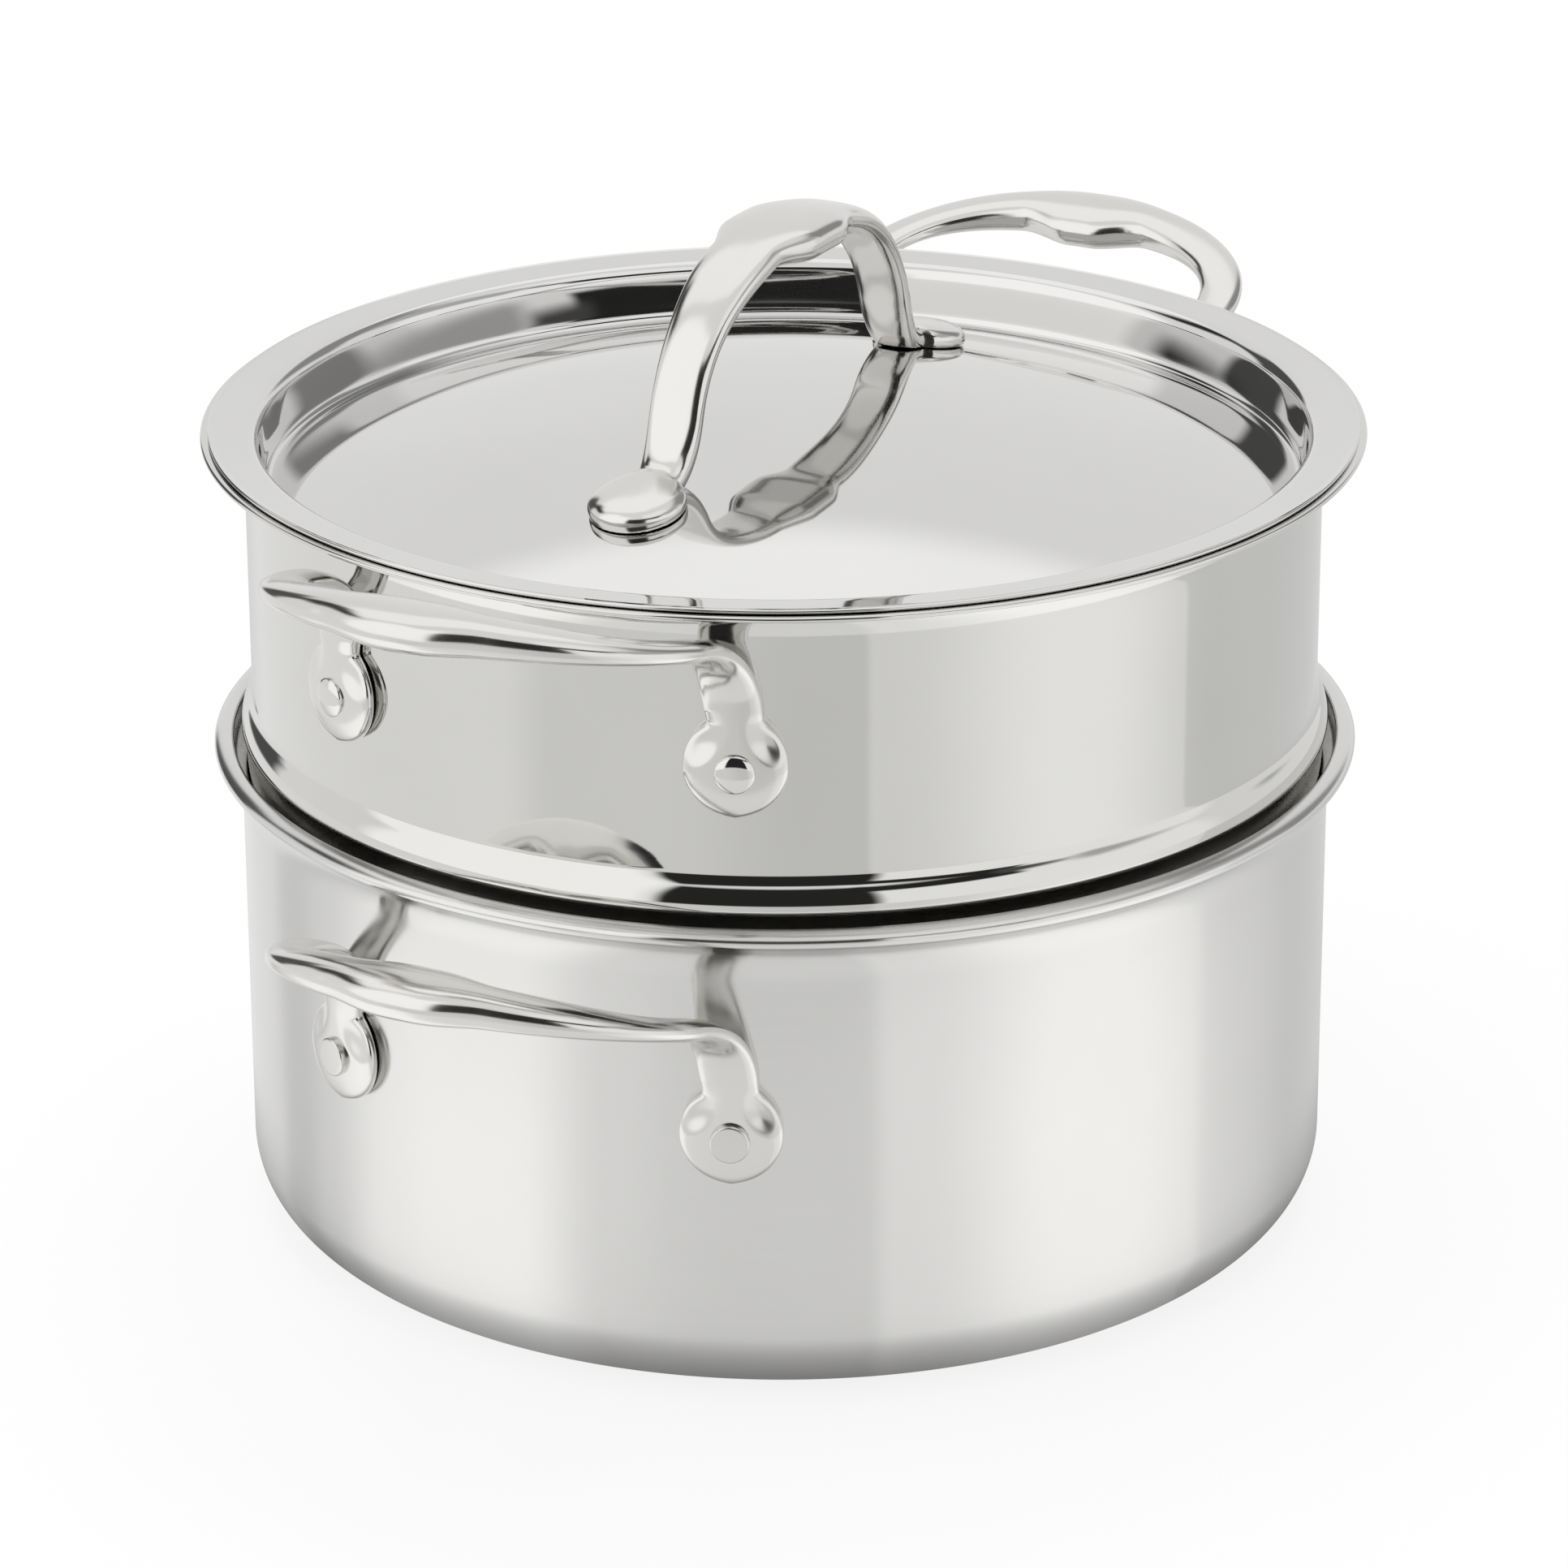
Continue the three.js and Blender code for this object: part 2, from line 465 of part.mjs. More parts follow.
// Loop handle on a wall of the given radius, with heights from the rivets and +X outward
function loopHandle(wallRadius, rise, shoulder) {
  const slope = Math.atan((rise - shoulder) / LOOP_ROUND);
  const turn = footAngle(wallRadius);
  const outward = new THREE.Vector3(Math.cos(turn), Math.sin(turn), 0);
  const sideways = new THREE.Vector3(-Math.sin(turn), Math.cos(turn), 0);
  const up = new THREE.Vector3(0, 0, 1);
  const legRadius = wallRadius + (FOOT_THICK - FOOT_SINK) / 2;
  const boss = new THREE.Vector3(wallRadius + LOOP_REACH, 0, rise);
  const fall = new THREE.Vector3(-Math.cos(slope), 0, -Math.sin(slope));
  const corner = new THREE.Vector3(boss.x - LOOP_ROUND, LOOP_HALF_SPAN, shoulder);
  const leg = (height, lean) => outward.clone().multiplyScalar(legRadius)
    .addScaledVector(up, height).addScaledVector(sideways, -lean);
  const legTop = leg(LEG_HEIGHT, LEG_LEAN);
  const bar = new THREE.CubicBezierCurve3(
    boss,
    boss.clone().add(new THREE.Vector3(0, LOOP_HALF_SPAN * LOOP_PULL, 0)),
    corner.clone().addScaledVector(fall, -LOOP_ROUND * LOOP_PULL),
    corner,
  );
  const side = new THREE.CubicBezierCurve3(
    corner,
    corner.clone().addScaledVector(fall, (corner.x - legTop.x) * ROUND_PULL),
    legTop.clone().addScaledVector(
      up.clone().addScaledVector(sideways, -LEG_SLANT), (corner.z - legTop.z) * ROUND_PULL,
    ),
    legTop,
  );
  const half = [];
  for (let i = 0; i <= LOOP_STEPS; i++) {
    const along = (2 * i) / LOOP_STEPS;
    const curve = along <= 1 ? bar : side;
    const share = along <= 1 ? along : along - 1;
    const at = curve.getPoint(share);
    const heading = curve.getTangent(share);
    const flat = heading.clone().setZ(0).normalize();
    const twist = along <= 1 ? 0 : smooth(share);
    const outboard = smooth(Math.min(along, 1));
    const across = new THREE.Vector3().crossVectors(up, flat).negate().lerp(sideways, twist);
    const through = new THREE.Vector3().crossVectors(heading, across).normalize();
    across.crossVectors(through, heading).normalize();
    const swell = 1 - smooth((Math.abs(at.y) - BOSS_FLAT) / (BOSS_LENGTH - BOSS_FLAT));
    const taper = smooth(along / BAR_TAPER);
    const tilt = BOSS_TILT * (1 - outboard);
    across.applyAxisAngle(heading, -tilt);
    through.applyAxisAngle(heading, -tilt);
    const width = mix(mix(BAR_WIDTH, SHOULDER_WIDTH, taper), BOSS_WIDTH, swell);
    const slim = mix(mix(BAR_THICK, SHOULDER_THICK, taper), FOOT_THICK + FOOT_SINK, twist);
    const thick = mix(slim, BOSS_THICK, swell);
    at.addScaledVector(through, (swell * (BOSS_THICK - BAR_THICK)) / 2);
    at.addScaledVector(across, -swell * BOSS_INSET);
    half.push(station(at, across, through, width, thick));
  }
  for (let i = 1; i <= FOOT_STEPS; i++) {
    const down = Math.sin((Math.PI / 2) * (i / FOOT_STEPS));
    const past = mix(FOOT_LIFT - LEG_HEIGHT, FOOT_RADIUS, down);
    const height = FOOT_LIFT - past;
    const free = Math.max((height - LEG_FROM) / (LEG_HEIGHT - LEG_FROM), 0);
    const at = leg(height, LEG_LEAN * free ** ((LEG_SLANT * (LEG_HEIGHT - LEG_FROM)) / LEG_LEAN));
    const width = padWidth(past, FOOT_RADIUS, mix(NECK_WIDTH, SHOULDER_WIDTH, free));
    half.push(station(at, sideways, outward, width, FOOT_THICK + FOOT_SINK));
  }
  const wall = turned([
    point(0, -2 * rise),
    point(wallRadius + SEAT_GAP, -2 * rise),
    point(wallRadius + SEAT_GAP, 2 * rise),
    point(0, 2 * rise),
  ]);
  const spot = wallRadius + FOOT_THICK - RIVET_SPOT_DEPTH;
  const cuts = [wall];
  for (const degrees of [THREE.MathUtils.radToDeg(turn), -THREE.MathUtils.radToDeg(turn)]) {
    const hole = barAlongX(RIVET_SHANK_RADIUS + SHANK_GAP, 0, spot + FOOT_THICK);
    const seat = barAlongX(RIVET_HEAD_RADIUS + SHANK_GAP, spot, spot + 2 * FOOT_THICK);
    cuts.push(hole.add(seat).rotate([0, 0, degrees]));
  }
  return strap(withMirror(half, 1)).subtract(wasm.Manifold.union(cuts));
}

// Rivet along +X, through a wall of the given radius and thickness and a handle's foot
function rivet(wallRadius, wall) {
  const facetSag = wallRadius * (1 - Math.cos(Math.PI / TURN_STEPS));
  const roundSag = RIVET_INNER_RADIUS ** 2 / wallRadius;
  const inside = wallRadius - wall - SEAT_GAP - facetSag - roundSag;
  const head = wallRadius + FOOT_THICK - RIVET_SPOT_DEPTH + SEAT_GAP;
  const top = head + RIVET_HEAD_THICK;
  const profile = [
    point(0, inside - RIVET_INNER_THICK),
    point(RIVET_INNER_RADIUS * RIVET_INNER_CROWN, inside - RIVET_INNER_THICK),
    point(RIVET_INNER_RADIUS, inside),
    point(RIVET_SHANK_RADIUS, inside),
    point(RIVET_SHANK_RADIUS, head),
    point(RIVET_HEAD_RADIUS, head),
    point(RIVET_HEAD_RADIUS, top - RIVET_HEAD_THICK * RIVET_HEAD_BEVEL),
    point(RIVET_HEAD_RADIUS * RIVET_HEAD_CROWN, top),
    point(0, top),
  ];
  const geometry = geometryOf(turned(profile, RIVET_SIDES));
  geometry.rotateY(Math.PI / 2);
  return geometry;
}

// Holes for a body's four rivets, through its wall
function rivetHoles(wallRadius, wall, height) {
  const bore = barAlongX(RIVET_SHANK_RADIUS + SHANK_GAP, wallRadius - 3 * wall, wallRadius + wall);
  const turn = footAngle(wallRadius);
  const turns = [turn, -turn, Math.PI + turn, Math.PI - turn];
  const bores = turns.map((angle) => bore.rotate([0, 0, THREE.MathUtils.radToDeg(angle)]));
  return wasm.Manifold.union(bores).translate([0, 0, height]);
}

// Lid handle: an arch in the XZ plane on two round pads, with heights as the lid's
function lidHandle() {
  const across = new THREE.Vector3(0, 1, 0);
  const rounded = (value) => Math.abs(value) ** (2 / ARCH_SQUARENESS);
  const line = [];
  for (let i = 0; i <= ARCH_STEPS; i++) {
    const angle = mix(Math.PI / 2, ARCH_FOOT_ANGLE, i / ARCH_STEPS);
    const x = ARCH_HALF_SPAN * rounded(Math.cos(angle));
    const z = ARCH_SPRING + ARCH_RISE * rounded(Math.sin(angle));
    const swell = 1 - smooth((x - ARCH_BOSS_FLAT) / (ARCH_BOSS_LENGTH - ARCH_BOSS_FLAT));
    const slim = smooth((x - ARCH_LEG_FROM) / (ARCH_LEG_TO - ARCH_LEG_FROM));
    line.push({
      at: new THREE.Vector3(x, 0, z - (swell * (ARCH_BOSS_THICK - ARCH_THICK)) / 2),
      width: mix(mix(ARCH_WIDTH, ARCH_LEG_WIDTH, slim), ARCH_BOSS_WIDTH, swell),
      thick: mix(mix(ARCH_THICK, ARCH_LEG_THICK, slim), ARCH_BOSS_THICK, swell),
    });
  }
  const padMiddle = (x) => domeHeight(x) + ARCH_PAD_WIDEST;
  const padThick = 2 * (ARCH_PAD_THICK - ARCH_PAD_WIDEST);
  const [above, leg] = line.slice(-2).map(({ at }) => at);
  const padStart = ARCH_HALF_SPAN + ARCH_TURN;
  const fall = leg.z - padMiddle(ARCH_HALF_SPAN);
  const knee = leg.x + (fall * (leg.x - above.x)) / (above.z - leg.z);
  const turnOut = new THREE.QuadraticBezierCurve3(
    leg,
    new THREE.Vector3(knee, 0, padMiddle(knee)),
    new THREE.Vector3(padStart, 0, padMiddle(padStart)),
  );
  for (let i = 1; i <= TURN_OUT_STEPS; i++) {
    const share = i / TURN_OUT_STEPS;
    line.push({
      at: turnOut.getPoint(share),
      width: mix(ARCH_LEG_WIDTH, ARCH_NECK_WIDTH, share),
      thick: mix(ARCH_LEG_THICK, padThick, share),
    });
  }
  const start = padStart - ARCH_PAD_OFFSET;
  for (let i = 1; i <= PAD_STEPS; i++) {
    const past = mix(start, ARCH_PAD_RADIUS, Math.sin((Math.PI / 2) * (i / PAD_STEPS)));
    const x = ARCH_PAD_OFFSET + past;
    line.push({
      at: new THREE.Vector3(x, 0, padMiddle(x)),
      width: padWidth(past, ARCH_PAD_RADIUS, ARCH_NECK_WIDTH),
      thick: padThick,
    });
  }
  const half = line.map(({ at, width, thick }, i) => {
    const before = line[Math.max(i - 1, 0)].at.clone();
    if (i === 0) before.x = -line[1].at.x;
    const after = line[Math.min(i + 1, line.length - 1)].at;
    const heading = after.clone().sub(before).setY(0).normalize();
    const through = new THREE.Vector3().crossVectors(heading, across);
    return station(at, across, through, width, thick);
  });
  const lidTop = turned([
    point(0, lidFootHeight - LID_DOME_RISE),
    point(lidFootRadius, lidFootHeight - LID_DOME_RISE),
    ...dome(lidFootRadius, 0, SEAT_GAP, DOME_STEPS),
  ]);
  return strap(withMirror(half, 0)).subtract(lidTop);
}

// Materials and assembly
const steel = (shade, roughness) =>
  new THREE.MeshStandardMaterial({ color: shade, roughness, metalness: 1 });

function addPiece(group, name, geometry, material) {
  const mesh = new THREE.Mesh(geometry, material);
  mesh.name = name;
  group.add(mesh);
  return mesh;
}

// Two loop handles with their rivets at a height on a body, their shoulders and bosses above
function addHandles(group, prefix, wallRadius, wall, height, shoulder, rise) {
  const loop = geometryOf(loopHandle(wallRadius, rise, shoulder));
  const pin = rivet(wallRadius, wall);
  const turn = footAngle(wallRadius);
  for (const [side, facing] of [['right', 0], ['left', Math.PI]]) {
    const holder = new THREE.Group();
    holder.position.z = height;
    holder.rotation.z = facing;
    addPiece(holder, `${prefix}_handle_${side}`, loop, steel(CAST_SHADE, CAST_ROUGHNESS));
    const ends = side === 'right' ? ['back', 'front'] : ['front', 'back'];
    for (const [i, angle] of [turn, -turn].entries()) {
      const name = `${prefix}_rivet_${side}_${ends[i]}`;
      addPiece(holder, name, pin, steel(RIVET_SHADE, RIVET_ROUGHNESS)).rotation.z = angle;
    }
    group.add(holder);
  }
}

const pot = new THREE.Group();
const potSolid = potBody().subtract(rivetHoles(potWallRadius, POT_WALL, POT_RIVET_HEIGHT));
addPiece(pot, 'pot_body', geometryOf(potSolid), steel(POT_SHADE, POT_ROUGHNESS));
addHandles(
  pot, 'pot', potWallRadius, POT_WALL,
  POT_RIVET_HEIGHT, POT_LOOP_SHOULDER, POT_LOOP_RISE,
);

const insert = new THREE.Group();
insert.position.z = POT_HEIGHT;
const insertSolid = insertBody().subtract(
  rivetHoles(insertWallRadius, INSERT_WALL, INSERT_RIVET_RISE),
);
addPiece(insert, 'steamer_insert', geometryOf(insertSolid), steel(INSERT_SHADE, INSERT_ROUGHNESS));
addHandles(
  insert, 'insert', insertWallRadius, INSERT_WALL,
  INSERT_RIVET_RISE, INSERT_LOOP_SHOULDER, INSERT_LOOP_RISE,
);
pot.add(insert);

const lid = new THREE.Group();
lid.position.z = INSERT_RISE;
addPiece(lid, 'lid_shell', geometryOf(lidShell()), steel(LID_SHADE, LID_ROUGHNESS));
addPiece(lid, 'lid_handle', geometryOf(lidHandle()), steel(CAST_SHADE, CAST_ROUGHNESS));
insert.add(lid);

export default pot;
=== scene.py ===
"""Looks of a steel soup pot with a lift-out steamer insert and a recessed lid.

Every visible steel surface is worked out here as whole arrays, in millimetres in the shared
frame: turned vessels and rivets from profiles, cast handles from sections carried along paths.
"""
import math

import bpy
import numpy as np
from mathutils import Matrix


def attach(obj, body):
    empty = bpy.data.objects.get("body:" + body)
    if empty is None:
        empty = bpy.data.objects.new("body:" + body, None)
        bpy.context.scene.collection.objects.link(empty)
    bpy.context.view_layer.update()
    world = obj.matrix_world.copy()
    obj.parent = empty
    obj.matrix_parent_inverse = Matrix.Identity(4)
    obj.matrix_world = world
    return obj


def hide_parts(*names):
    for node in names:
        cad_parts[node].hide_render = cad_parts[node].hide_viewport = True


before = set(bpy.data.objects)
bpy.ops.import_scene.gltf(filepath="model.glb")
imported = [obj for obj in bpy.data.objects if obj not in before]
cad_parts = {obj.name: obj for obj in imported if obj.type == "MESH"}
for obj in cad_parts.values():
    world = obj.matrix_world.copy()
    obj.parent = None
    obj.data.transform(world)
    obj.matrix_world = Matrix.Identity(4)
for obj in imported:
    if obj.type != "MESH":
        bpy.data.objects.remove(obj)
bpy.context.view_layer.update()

MM = 0.001
UP = np.array([0.0, 0.0, 1.0])

# Sizes of the pot, the insert and the lid, in millimetres
POT_BORE, POT_WALL, POT_FLOOR, POT_HEIGHT, POT_ROUND = 120.0, 2.5, 5.0, 112.0, 16.0
POT_OUTER = POT_BORE + POT_WALL
FLARE_HEIGHT, FLARE_REACH = 12.0, 5.0
LIP_REACH, LIP_DROP, LIP_EDGE = 3.5, 2.0, 1.2
LIP_RADIUS = POT_BORE + FLARE_REACH
LIP_ROUND, POCKET_DEPTH, MOUTH_DEPTH = 0.9, 3.4, 11.0
POCKET = LIP_RADIUS - LIP_ROUND
SEAT_GAP = 0.3
SKIRT, INSERT_SHEET, INSERT_OUTER = 119.0, 1.5, 119.7
INSERT_BORE = INSERT_OUTER - INSERT_SHEET
INSERT_DEPTH, INSERT_ROUND = 24.0, 6.0
BEAD_RADIUS, BEAD_LIFT, BEAD_ROUND, BEAD_TURN = 122.3, 2.6, 8.6, 36.0
BEAD_CURL, BEAD_FOOT, SEAT_DROP = 1.2, 121.2, 3.6
INSERT_RISE, RIM_FLARE, RIM_REACH, RIM_EDGE = 70.6, 9.0, 9.5, 1.3
RIM_RADIUS = INSERT_OUTER + RIM_REACH
RIM_SLOPE = math.tan(math.radians(5))
HOLE_RADIUS, HOLE_PITCH, HOLE_RINGS = 4.0, 22.0, 4
RIM_TOP = POT_HEIGHT + INSERT_RISE
LID_SHEET, LID_INSET, PLUG_GAP = 0.9, 1.6, 0.9
RECESS_TAPER, RECESS_DEPTH = 1.0, 14.8
LID_EDGE = RIM_RADIUS - LID_INSET
LID_PLUG = INSERT_BORE - PLUG_GAP
LID_FOOT_RADIUS = LID_PLUG - LID_SHEET - RECESS_TAPER
LID_FOOT = SEAT_GAP + LID_SHEET - RECESS_DEPTH
DOME_RISE, LID_ROUND, LID_BEND, LID_TUCK = 18.5, 3.3, 2.3, 2.9
LEAN_LOW, LEAN_HIGH = math.radians(4), math.radians(8)
DOME_RADIUS = (LID_FOOT_RADIUS ** 2 + DOME_RISE ** 2) / (2 * DOME_RISE)
POT_RIVETS, INSERT_RIVET_RISE = 63.8, 34.2
INSERT_RIVETS = POT_HEIGHT + INSERT_RIVET_RISE
POT_LOOP_RISE, POT_SHOULDER = 42.6, 30.6
INSERT_LOOP_RISE, INSERT_SHOULDER = 40.0, 31.2
FOOT_SPAN, FOOT_THICK, SPOT_DEPTH = 47.1, 4.4, 0.4
ROUND_PULL = 0.56  # share of a quarter round's size that pulls a cubic curve into it
CAD_FACETS = 40  # facets of a full turn in the solids, whose walls lie a little inside the round


# Curves and profiles

def arc(centre, across, up, start, stop, count):
    """Part of an ellipse: centre plus the half axes times cosine and sine, from one angle to another."""
    turn = np.radians(np.linspace(start, stop, count))
    return np.stack([centre[0] + across * np.cos(turn), centre[1] + up * np.sin(turn)], 1)


def bend(start, corner, stop, count):
    """Quadratic curve: the start, corner and stop weighted by (1-t)^2, 2t(1-t) and t^2."""
    t = np.linspace(0, 1, count)[:, None]
    start, corner, stop = map(np.asarray, (start, corner, stop))
    return (1 - t) ** 2 * start + 2 * t * (1 - t) * corner + t ** 2 * stop


def cubic(points, t):
    """Cubic curve through its first and last point, pulled by the two between, and its heading."""
    a, b, c, d = (np.asarray(p, float) for p in points)
    t = np.asarray(t)[:, None]
    at = (1 - t) ** 3 * a + 3 * t * (1 - t) ** 2 * b + 3 * t ** 2 * (1 - t) * c + t ** 3 * d
    way = (1 - t) ** 2 * (b - a) + 2 * t * (1 - t) * (c - b) + t ** 2 * (d - c)
    return at, way / np.linalg.norm(way, axis=1, keepdims=True)


def mouth(clearance, count):
    """The pot's mouth: a cubic curve from an upright pocket in to the bore, moved out along its normal."""
    top, low = POT_HEIGHT - POCKET_DEPTH, POT_HEIGHT - MOUTH_DEPTH
    pull = (top - low) * ROUND_PULL
    at, way = cubic(((POCKET, top), (POCKET, top - pull), (POT_BORE, low + pull), (POT_BORE, low)),
                    np.linspace(0, 1, count))
    return at + clearance * np.stack([way[:, 1], -way[:, 0]], 1)


def line(start, stop, count):
    """Points evenly spaced from one end of a straight line to the other."""
    return np.linspace(start, stop, count)


def smooth(value):
    """Rises from 0 to 1 with level ends: 3t^2 - 2t^3."""
    t = np.clip(value, 0, 1)
    return t * t * (3 - 2 * t)


def mix(a, b, share):
    """Straight blend of two values."""
    return a + (b - a) * share


def chain(*parts):
    """Joins profile parts end to end and drops points that repeat."""
    points = np.concatenate([np.atleast_2d(np.asarray(p, float)) for p in parts])
    step = np.linalg.norm(np.diff(points, axis=0), axis=1)
    return points[np.concatenate([[True], step > 1e-4])]


# Meshes

def grid_faces(rows, cols):
    """Four-cornered faces of a grid whose columns close on themselves."""
    r = np.arange(rows - 1)[:, None]
    c = np.arange(cols)[None, :]
    nxt_r, nxt_c = r + 1, (c + 1) % cols
    corners = [r * cols + c, r * cols + nxt_c, nxt_r * cols + nxt_c, nxt_r * cols + c]
    return np.stack([np.broadcast_to(k, (len(r), cols)) for k in corners], -1).reshape(-1, 4)


def add_piece(name, points, faces, body, slot, material, sharp=40):
    """Makes a smooth mesh from points in millimetres, merges repeated points, turns faces out."""
    mesh = bpy.data.meshes.new(name)
    key = np.round(points / 0.002).astype(np.int64)
    _, first, where = np.unique(key, axis=0, return_index=True, return_inverse=True)
    points, faces = points[first], where.ravel()[faces]
    a, b, c, d = faces.T
    flat = [(a == b) | (c == d), (b == c) | (d == a)]
    four = faces[~flat[0] & ~flat[1]]
    three = np.concatenate([
        np.stack([a, c, d], 1)[(a == b) & (c != d)], np.stack([a, b, c], 1)[(c == d) & (a != b)],
        np.stack([a, b, d], 1)[(b == c) & (d != a)], np.stack([a, b, c], 1)[(d == a) & (b != c)],
    ])
    fan = np.concatenate([four[:, [0, 1, 2]], four[:, [0, 2, 3]], three])
    p, q, r = (points[fan[:, k]] for k in range(3))
    if np.einsum("ij,ij->", p, np.cross(q, r)) < 0:
        four, three = four[:, ::-1], three[:, ::-1]
    mesh.from_pydata(points * MM, [], four.tolist() + three.tolist())
    mesh.validate()
    mesh.shade_smooth()
    mesh.set_sharp_from_angle(angle=math.radians(sharp))
    piece = bpy.data.objects.new(name, mesh)
    bpy.context.collection.objects.link(piece)
    mesh.materials.append(material)
    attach(piece, body)
    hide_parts(name.removesuffix("_steel"))
    return piece


def turned(profile, segments=288):
    """Turns a profile of radius and height about the Z axis: (r cos a, r sin a, z)."""
    turn = np.linspace(0, 2 * np.pi, segments, endpoint=False)
    radius, height = profile.T
    points = np.stack([
        radius[:, None] * np.cos(turn), radius[:, None] * np.sin(turn),
        np.broadcast_to(height[:, None], (len(profile), segments)),
    ], -1)
    return points.reshape(-1, 3), grid_faces(len(profile), segments)


# Vessels

def pot_profile():
    """Outer base round, wall, flare under the lip, rolled lip, mouth, bore and floor round."""
    edge = (LIP_RADIUS + LIP_REACH, POT_HEIGHT - LIP_DROP)
    under = (edge[0] - LIP_EDGE / 2, edge[1] - LIP_EDGE)
    inner = POT_ROUND - POT_WALL
    flare = POT_HEIGHT - FLARE_HEIGHT - LIP_EDGE
    return chain(
        line((0, 0), (POT_OUTER - POT_ROUND - 2, 0), 8),
        arc((POT_OUTER - POT_ROUND, POT_ROUND), POT_ROUND, POT_ROUND, -90, 0, 24),
        line((POT_OUTER, POT_ROUND + 4), (POT_OUTER, flare - 3), 8),
        bend((POT_OUTER, flare), (POT_OUTER, under[1] - LIP_DROP), under, 16),
        bend(under, (edge[0], under[1]), edge, 6),
        arc((LIP_RADIUS, edge[1]), LIP_REACH, LIP_DROP, 0, 90, 14),
        arc((LIP_RADIUS, POT_HEIGHT - LIP_ROUND), LIP_ROUND, LIP_ROUND, 90, 180, 8),
        mouth(0, 24),
        line((POT_BORE, POT_HEIGHT - MOUTH_DEPTH - 6), (POT_BORE, POT_FLOOR + inner + 4), 8),
        arc((POT_BORE - inner, POT_FLOOR + inner), inner, inner, 0, -90, 20),
        line((POT_BORE - inner - 2, POT_FLOOR), (0, POT_FLOOR), 10),
    )


def insert_profile():
    """Skirt, seat in the pot's mouth, bead, cove, wall, flared rim, and the inside back down.

    It starts on the underside and ends on the top of the floor, both where the holes' rings end.
    """
    seat_in, foot_gap, seat_lift, ease = 0.3, 0.05, 0.75, 3.0
    base = POT_HEIGHT - INSERT_DEPTH
    ring_edge = (HOLE_RINGS + 0.5) * HOLE_PITCH
    inner = INSERT_ROUND - INSERT_SHEET
    centre = (SKIRT - INSERT_ROUND, base + INSERT_ROUND)
    seat = mouth(SEAT_GAP, 80)[::-1]
    seat = seat[(seat[:, 0] > POT_BORE + seat_in) & (seat[:, 0] < BEAD_FOOT - foot_gap)]
    lift = POT_HEIGHT + BEAD_LIFT
    curl = arc((BEAD_RADIUS - BEAD_CURL, lift), BEAD_CURL, BEAD_CURL, -80, 0, 10)
    bead = arc((BEAD_RADIUS - BEAD_ROUND, lift), BEAD_ROUND, BEAD_ROUND, 0, BEAD_TURN, 16)
    out, high = bead[-1]
    turn = math.radians(BEAD_TURN)
    cove_round = (out - INSERT_OUTER) / (1 - math.cos(turn))
    cove = (INSERT_OUTER + cove_round, high + cove_round * math.sin(turn))
    skirt_top = (SKIRT, seat[0][1] - SEAT_DROP)
    bead_bore = BEAD_FOOT - INSERT_SHEET
    flare = RIM_TOP - RIM_FLARE
    flat = INSERT_OUTER + RIM_REACH / 2

    def top(radius):
        return RIM_TOP - (RIM_RADIUS - radius) * RIM_SLOPE

    edge = arc((RIM_RADIUS - RIM_EDGE / 2, top(RIM_RADIUS) - RIM_EDGE / 2),
               RIM_EDGE / 2, RIM_EDGE / 2, -85, 85, 9)
    return chain(
        line((ring_edge, base), (centre[0] - 1, base), 5),
        arc(centre, INSERT_ROUND, INSERT_ROUND, -90, 0, 12),
        skirt_top,
        bend(skirt_top, (SKIRT, seat[0][1] - 1), seat[0], 6),
        seat,
        line((BEAD_FOOT, seat[-1][1] + 0.6), (BEAD_FOOT, lift - BEAD_CURL - 0.4), 4),
        curl,
        bead,
        arc(cove, cove_round, cove_round, 180 + BEAD_TURN, 180, 14),
        line((INSERT_OUTER, cove[1] + ease), (INSERT_OUTER, flare - ease), 7),
        bend((INSERT_OUTER, flare), (INSERT_OUTER, top(INSERT_OUTER) - RIM_EDGE),
             (flat, top(flat) - RIM_EDGE), 14),
        edge,
        bend((flat, top(flat)), (INSERT_BORE, top(INSERT_BORE)), (INSERT_BORE, flare), 14),
        line((INSERT_BORE, flare - ease), (INSERT_BORE, cove[1] + ease), 7),
        bend((INSERT_BORE, cove[1]), (INSERT_BORE, high), (out - INSERT_SHEET, high - 1), 6),
        bend((out - INSERT_SHEET, high - 1), (bead_bore, lift + 2), (bead_bore, lift), 6),
        (bead_bore, seat[-1][1] + seat_lift),
        seat[0] + [-INSERT_SHEET, seat_lift],
        (SKIRT - INSERT_SHEET, skirt_top[1]),
        arc(centre, inner, inner, 0, -90, 10),
        line((centre[0] - 1, base + INSERT_SHEET), (ring_edge, base + INSERT_SHEET), 5),
    )


